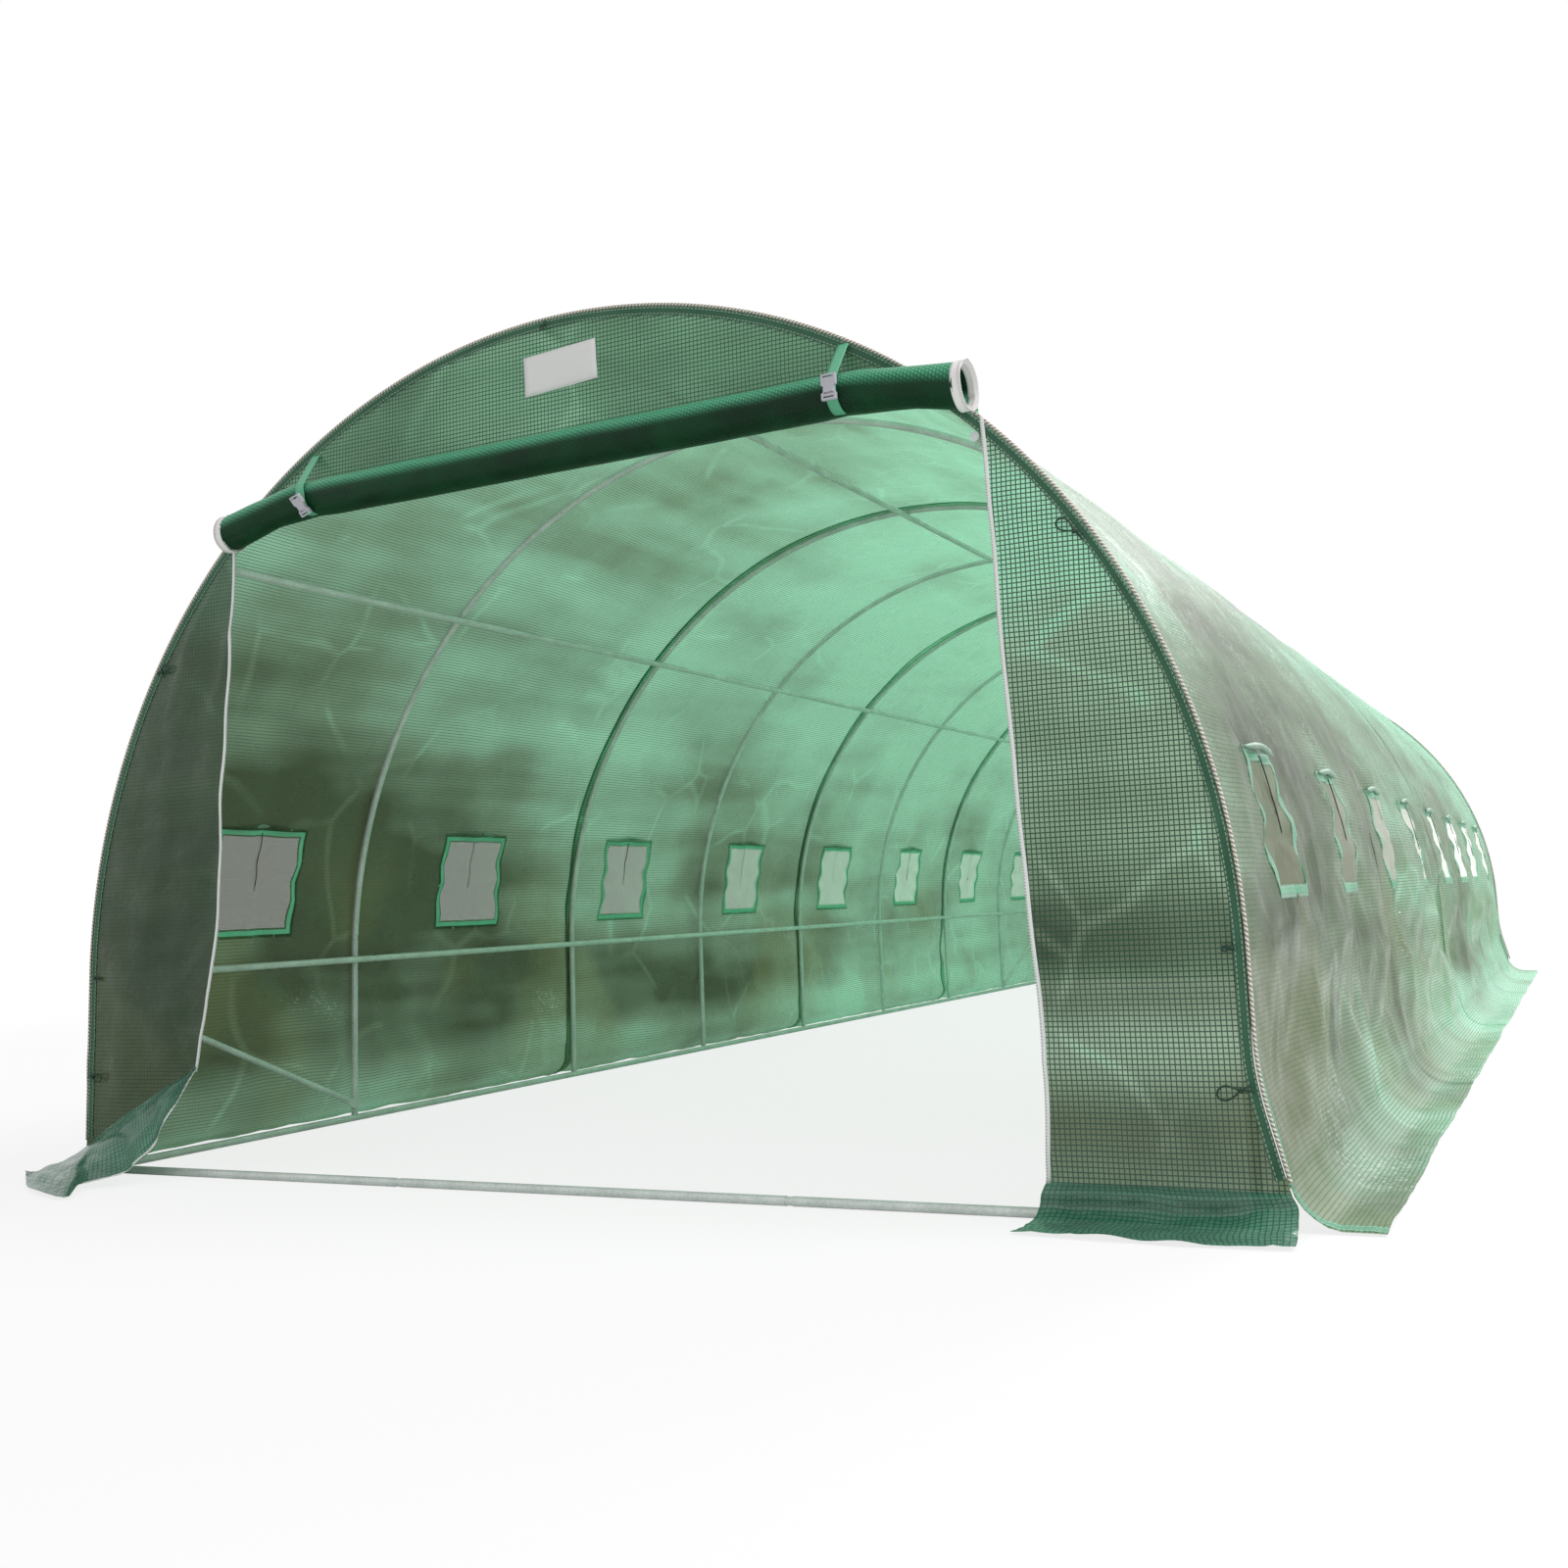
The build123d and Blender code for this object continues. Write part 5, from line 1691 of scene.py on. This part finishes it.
@dataclass
class Studio:
    """The camera at the photograph's place, a pale floor and soft light."""

    eye: Point = (2.103, -6.951, 0.611)
    yaw: float = 25.49
    pitch: float = 7.91
    roll: float = 2.46
    lens: float = 35.95
    shift: tuple[float, float] = (-0.03125, -0.0625)

    def camera(self) -> None:
        """Stand the camera where the photograph was taken."""
        data = bpy.data.cameras.new("camera")
        data.sensor_width = 36
        data.lens = self.lens
        data.shift_x, data.shift_y = self.shift
        data.clip_end = 200
        camera = bpy.data.objects.new("camera", data)
        bpy.context.collection.objects.link(camera)
        turn = (
            Matrix.Rotation(radians(self.yaw), 3, "Z")
            @ Matrix.Rotation(radians(self.pitch), 3, "X")
            @ Matrix.Rotation(radians(self.roll), 3, "Y")
        )
        axes = Matrix((turn.col[0], turn.col[2], -turn.col[1])).transposed()
        camera.matrix_world = Matrix.Translation(self.eye) @ axes.to_4x4()
        bpy.context.scene.camera = camera

    def floor(self) -> None:
        """A white floor that keeps the tunnel's shadow and fades to plain white."""
        deselect()
        bpy.ops.mesh.primitive_plane_add(size=160, location=(0, 0, -0.001))
        floor = bpy.context.object
        floor.name = "floor"
        graph = Graph.named("studio_floor")
        distance = graph.add("VectorMath", {"operation": "LENGTH", 0: graph.where()}).outputs["Value"]
        far = graph.ranged(distance, 4.5, 9.5, 0.8, 1.0, True)
        rays = graph.add("LightPath").outputs
        seen = graph.math("MAXIMUM", rays["Is Camera Ray"], rays["Is Transmission Ray"])
        shaded = graph.add("BsdfDiffuse", {"Color": "#f4f5f4"})
        white = graph.add("Emission", {"Color": WHITE, "Strength": 1.0})
        made = graph.finish(graph.blend(graph.math("MULTIPLY", far, seen), shaded, white))
        floor.data.materials.append(made)

    def light(self) -> None:
        """An even white room with two large soft lamps."""
        world = bpy.data.worlds.new("studio")
        bpy.context.scene.world = world
        graph = Graph(world)
        rays = graph.add("LightPath").outputs
        glossy = graph.math("MAXIMUM", rays["Is Camera Ray"], rays["Is Glossy Ray"])
        seen = graph.math("MAXIMUM", glossy, rays["Is Transmission Ray"])
        graph.finish(graph.add("Background", {"Color": WHITE, "Strength": graph.ranged(seen, 0.0, 1.0, 0.62)}), "World")
        for name, place, aim, size, power in (
            ("key", (7.0, -3.0, 7.5), (0, -1, 0.8), 4.0, 520.0),
            ("roof", (3.0, 6.5, 8.0), (0, 2, 1.0), 5.0, 650.0),
        ):
            data = bpy.data.lights.new(name, "AREA")
            data.size = size
            data.energy = power
            lamp = bpy.data.objects.new(name, data)
            bpy.context.collection.objects.link(lamp)
            lamp.location = place
            lamp.rotation_euler = (Vector(aim) - Vector(place)).to_track_quat("-Z", "Y").to_euler()

    def build(self) -> None:
        """Set the stage."""
        self.floor()
        self.light()
        view = bpy.context.scene.view_settings
        view.view_transform = "Standard"


def finishes() -> Finishes:
    """Mix every material once.

    Returns:
        the materials by name
    """
    films = {
        "cover": WovenFilm(
            "woven_film_cover", ("#4d5434", "#7a8868", "#a2ccae", "#c2fadc"), "#35604a", "#98f0c2", 0.38, (0.985, 0.88),
            base=0.06, rise=0.38, depth=0.5, clouds=0.25, streaks=0.17, ochre=0.45, painted_glints=0.6, threads=(0.3, 0.8),
            crumple=0.35, painted_light_bands=((0.0, 0.42), (0.1, 0.3), (0.28, 0.0), (1.0, -0.02), (1.5, 0.16)),
        ),
        "right_panel": WovenFilm(
            "woven_film_right_panel", ("#4a5a42", "#8a9a80", "#bcd2b8", "#c4ffe0"),
            "#124a30", "#98f0c2", 0.28, (0.97, 0.93),
            base=0.38, rise=0.14, clouds=0.18, ochre=0.4, threads=(0.95, 0.95),
            painted_light_bands=(
                (0.06, 0.08), (0.17, -0.12), (0.32, 0.45), (0.42, 0.0),
                (0.51, -0.38), (0.72, 0.12), (0.99, 0.08), (1.22, 0.49),
            ),
        ),
        # Painted shade: a darker copy of the wall's film for the left panel, which has less light behind it.
        "left_panel": WovenFilm(
            "woven_film_left_panel", ("#2c4222", "#405636", "#5c8064", "#86ac90"),
            "#0f4028", "#5fa67c", 0.2, (0.97, 0.9), base=0.2, rise=0.4, ochre=0.2, painted_glints=0.2, threads=(0.6, 0.8),
        ),
        "gable": WovenFilm(
            "woven_film_gable", ("#64906f", "#86b894", "#acdcba", "#c4f4d2"), "#0f4a2e", "#8fd6ae", 0.26, (0.92, 0.82),
            base=0.1, rise=0.3, clouds=0.34, painted_glints=0.1, threads=(0.85, 0.95),
        ),
        "rear": WovenFilm(
            "woven_film_rear_wall", ("#5f7560", "#7f9a82", "#9cc4a8", "#bfeed6"),
            "#2a6446", "#a8e6c4", 0.34, (0.92, 0.8), base=0.4, rise=0.3, ochre=0.3, painted_glints=0.2, threads=(0.6, 0.6),
        ),
        "foot": WovenFilm(
            "woven_film_foot", ("#45806a", "#6aa88c", "#98d4ba", "#dcfaee"), "#145a3a", "#8fe0b8", 0.2, (0.97, 0.92),
            base=0.36, rise=0.0, clouds=0.5, painted_glints=1.0, threads=(0.8, 0.8), crumple=0.8, roughness=0.18,
        ),
    }
    layers = {
        "roll": RolledFilm("rolled_film_door", "#032a14", "#0a4626", "#58bd90"),
        "flap": RolledFilm("rolled_film_flap", "#6d8c7a", "#8fb09e", "#9cbcaa"),
        "hem": RolledFilm("film_hem_window", "#9cd0b6", "#c4e8d6", "#c4e8d6", hem=0.028, glow="#36a874"),
        "edge_hem": RolledFilm(
            "film_hem_edge", "#3f9a70", "#6fbf9a", "#8fd0b0", hem=0.034, glow="#1f9a62", glow_share=0.3
        ),
        "wall_hem": RolledFilm(
            "film_hem_wall", "#3f6e54", "#56866a", "#6f9c80", "#b4c4b8", hem=0.02, glow="#3f8060", glow_share=0.3
        ),
        "seam": RolledFilm("film_seam", "#527a60", "#7fa88c", "#7fa88c", "#7fa88c", patches=0.8, glow="#3f9468"),
    }
    others = {
        "net": InsectNet(),
        "steel": GalvanisedSteel(),
        "zip": StitchedTape("zip_tape_white", "#f1f3f1", "#b4b7b3", 0.006, (0.0, 0.003)),
        "ring": StitchedTape("zip_tape_wound", "#f1efee", "#cfccca", 0.005, (0.012, 0.02)),
        "piping": StitchedTape("braided_piping", "#e8e3da", "#8d8577", 0.009, (-1.0, 1.0), 0.6),
        "webbing": StitchedTape("webbing_strap", "#2a8f62", "#7fd0ab", 0.004, (0.0, 0.026), 0.25, 0.5),
        "label": StitchedTape("woven_label", "#f3f3f1", "#dcdcda", 0.002, (-1.0, 1.0), 0.0, 0.8, 0.1),
        "buckle": MouldedPlastic("acetal_buckle", "#c9c7cf", "#a9a7b2"),
        "cord": BraidedCord("braided_cord", "#2a302e", "#0e1211"),
        "elastic": BraidedCord("elastic_cord", "#1d4a36", "#0b2419"),
    }
    return {name: finish.material() for name, finish in {**films, **layers, **others}.items()}


def dress_frame(made: Finishes) -> None:
    """Give the rigid CAD nodes their finishes."""
    starts = ("hoop_", "ridge_", "shoulder_", "waist_", "base_", "corner_")
    for name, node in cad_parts.items():
        if name.startswith(starts) or name == "strap_buckles":
            node.data.materials.clear()
            node.data.materials.append(made["buckle" if name == "strap_buckles" else "steel"])
    log.info("tubes and buckles finished")


def main() -> None:
    """Build the greenhouse piece by piece."""
    logging.basicConfig(level=logging.INFO, format="%(message)s")
    studio = Studio()
    studio.camera()
    made = finishes()
    tunnel = Tunnel.from_frame()
    line = CoverLine(tunnel)
    windows = Windows(line, tunnel.wall)
    windows.tie_cords(made["cord"])
    cover = Cover(tunnel, line, windows)
    cover.build(made)
    windows.build(cover, made)
    FrontWall(tunnel, line).build(made)
    RearWall(tunnel, line).build(made)
    CoverTies(tunnel).build(made["elastic"])
    dress_frame(made)
    studio.build()


if __name__ == "__main__":
    main()
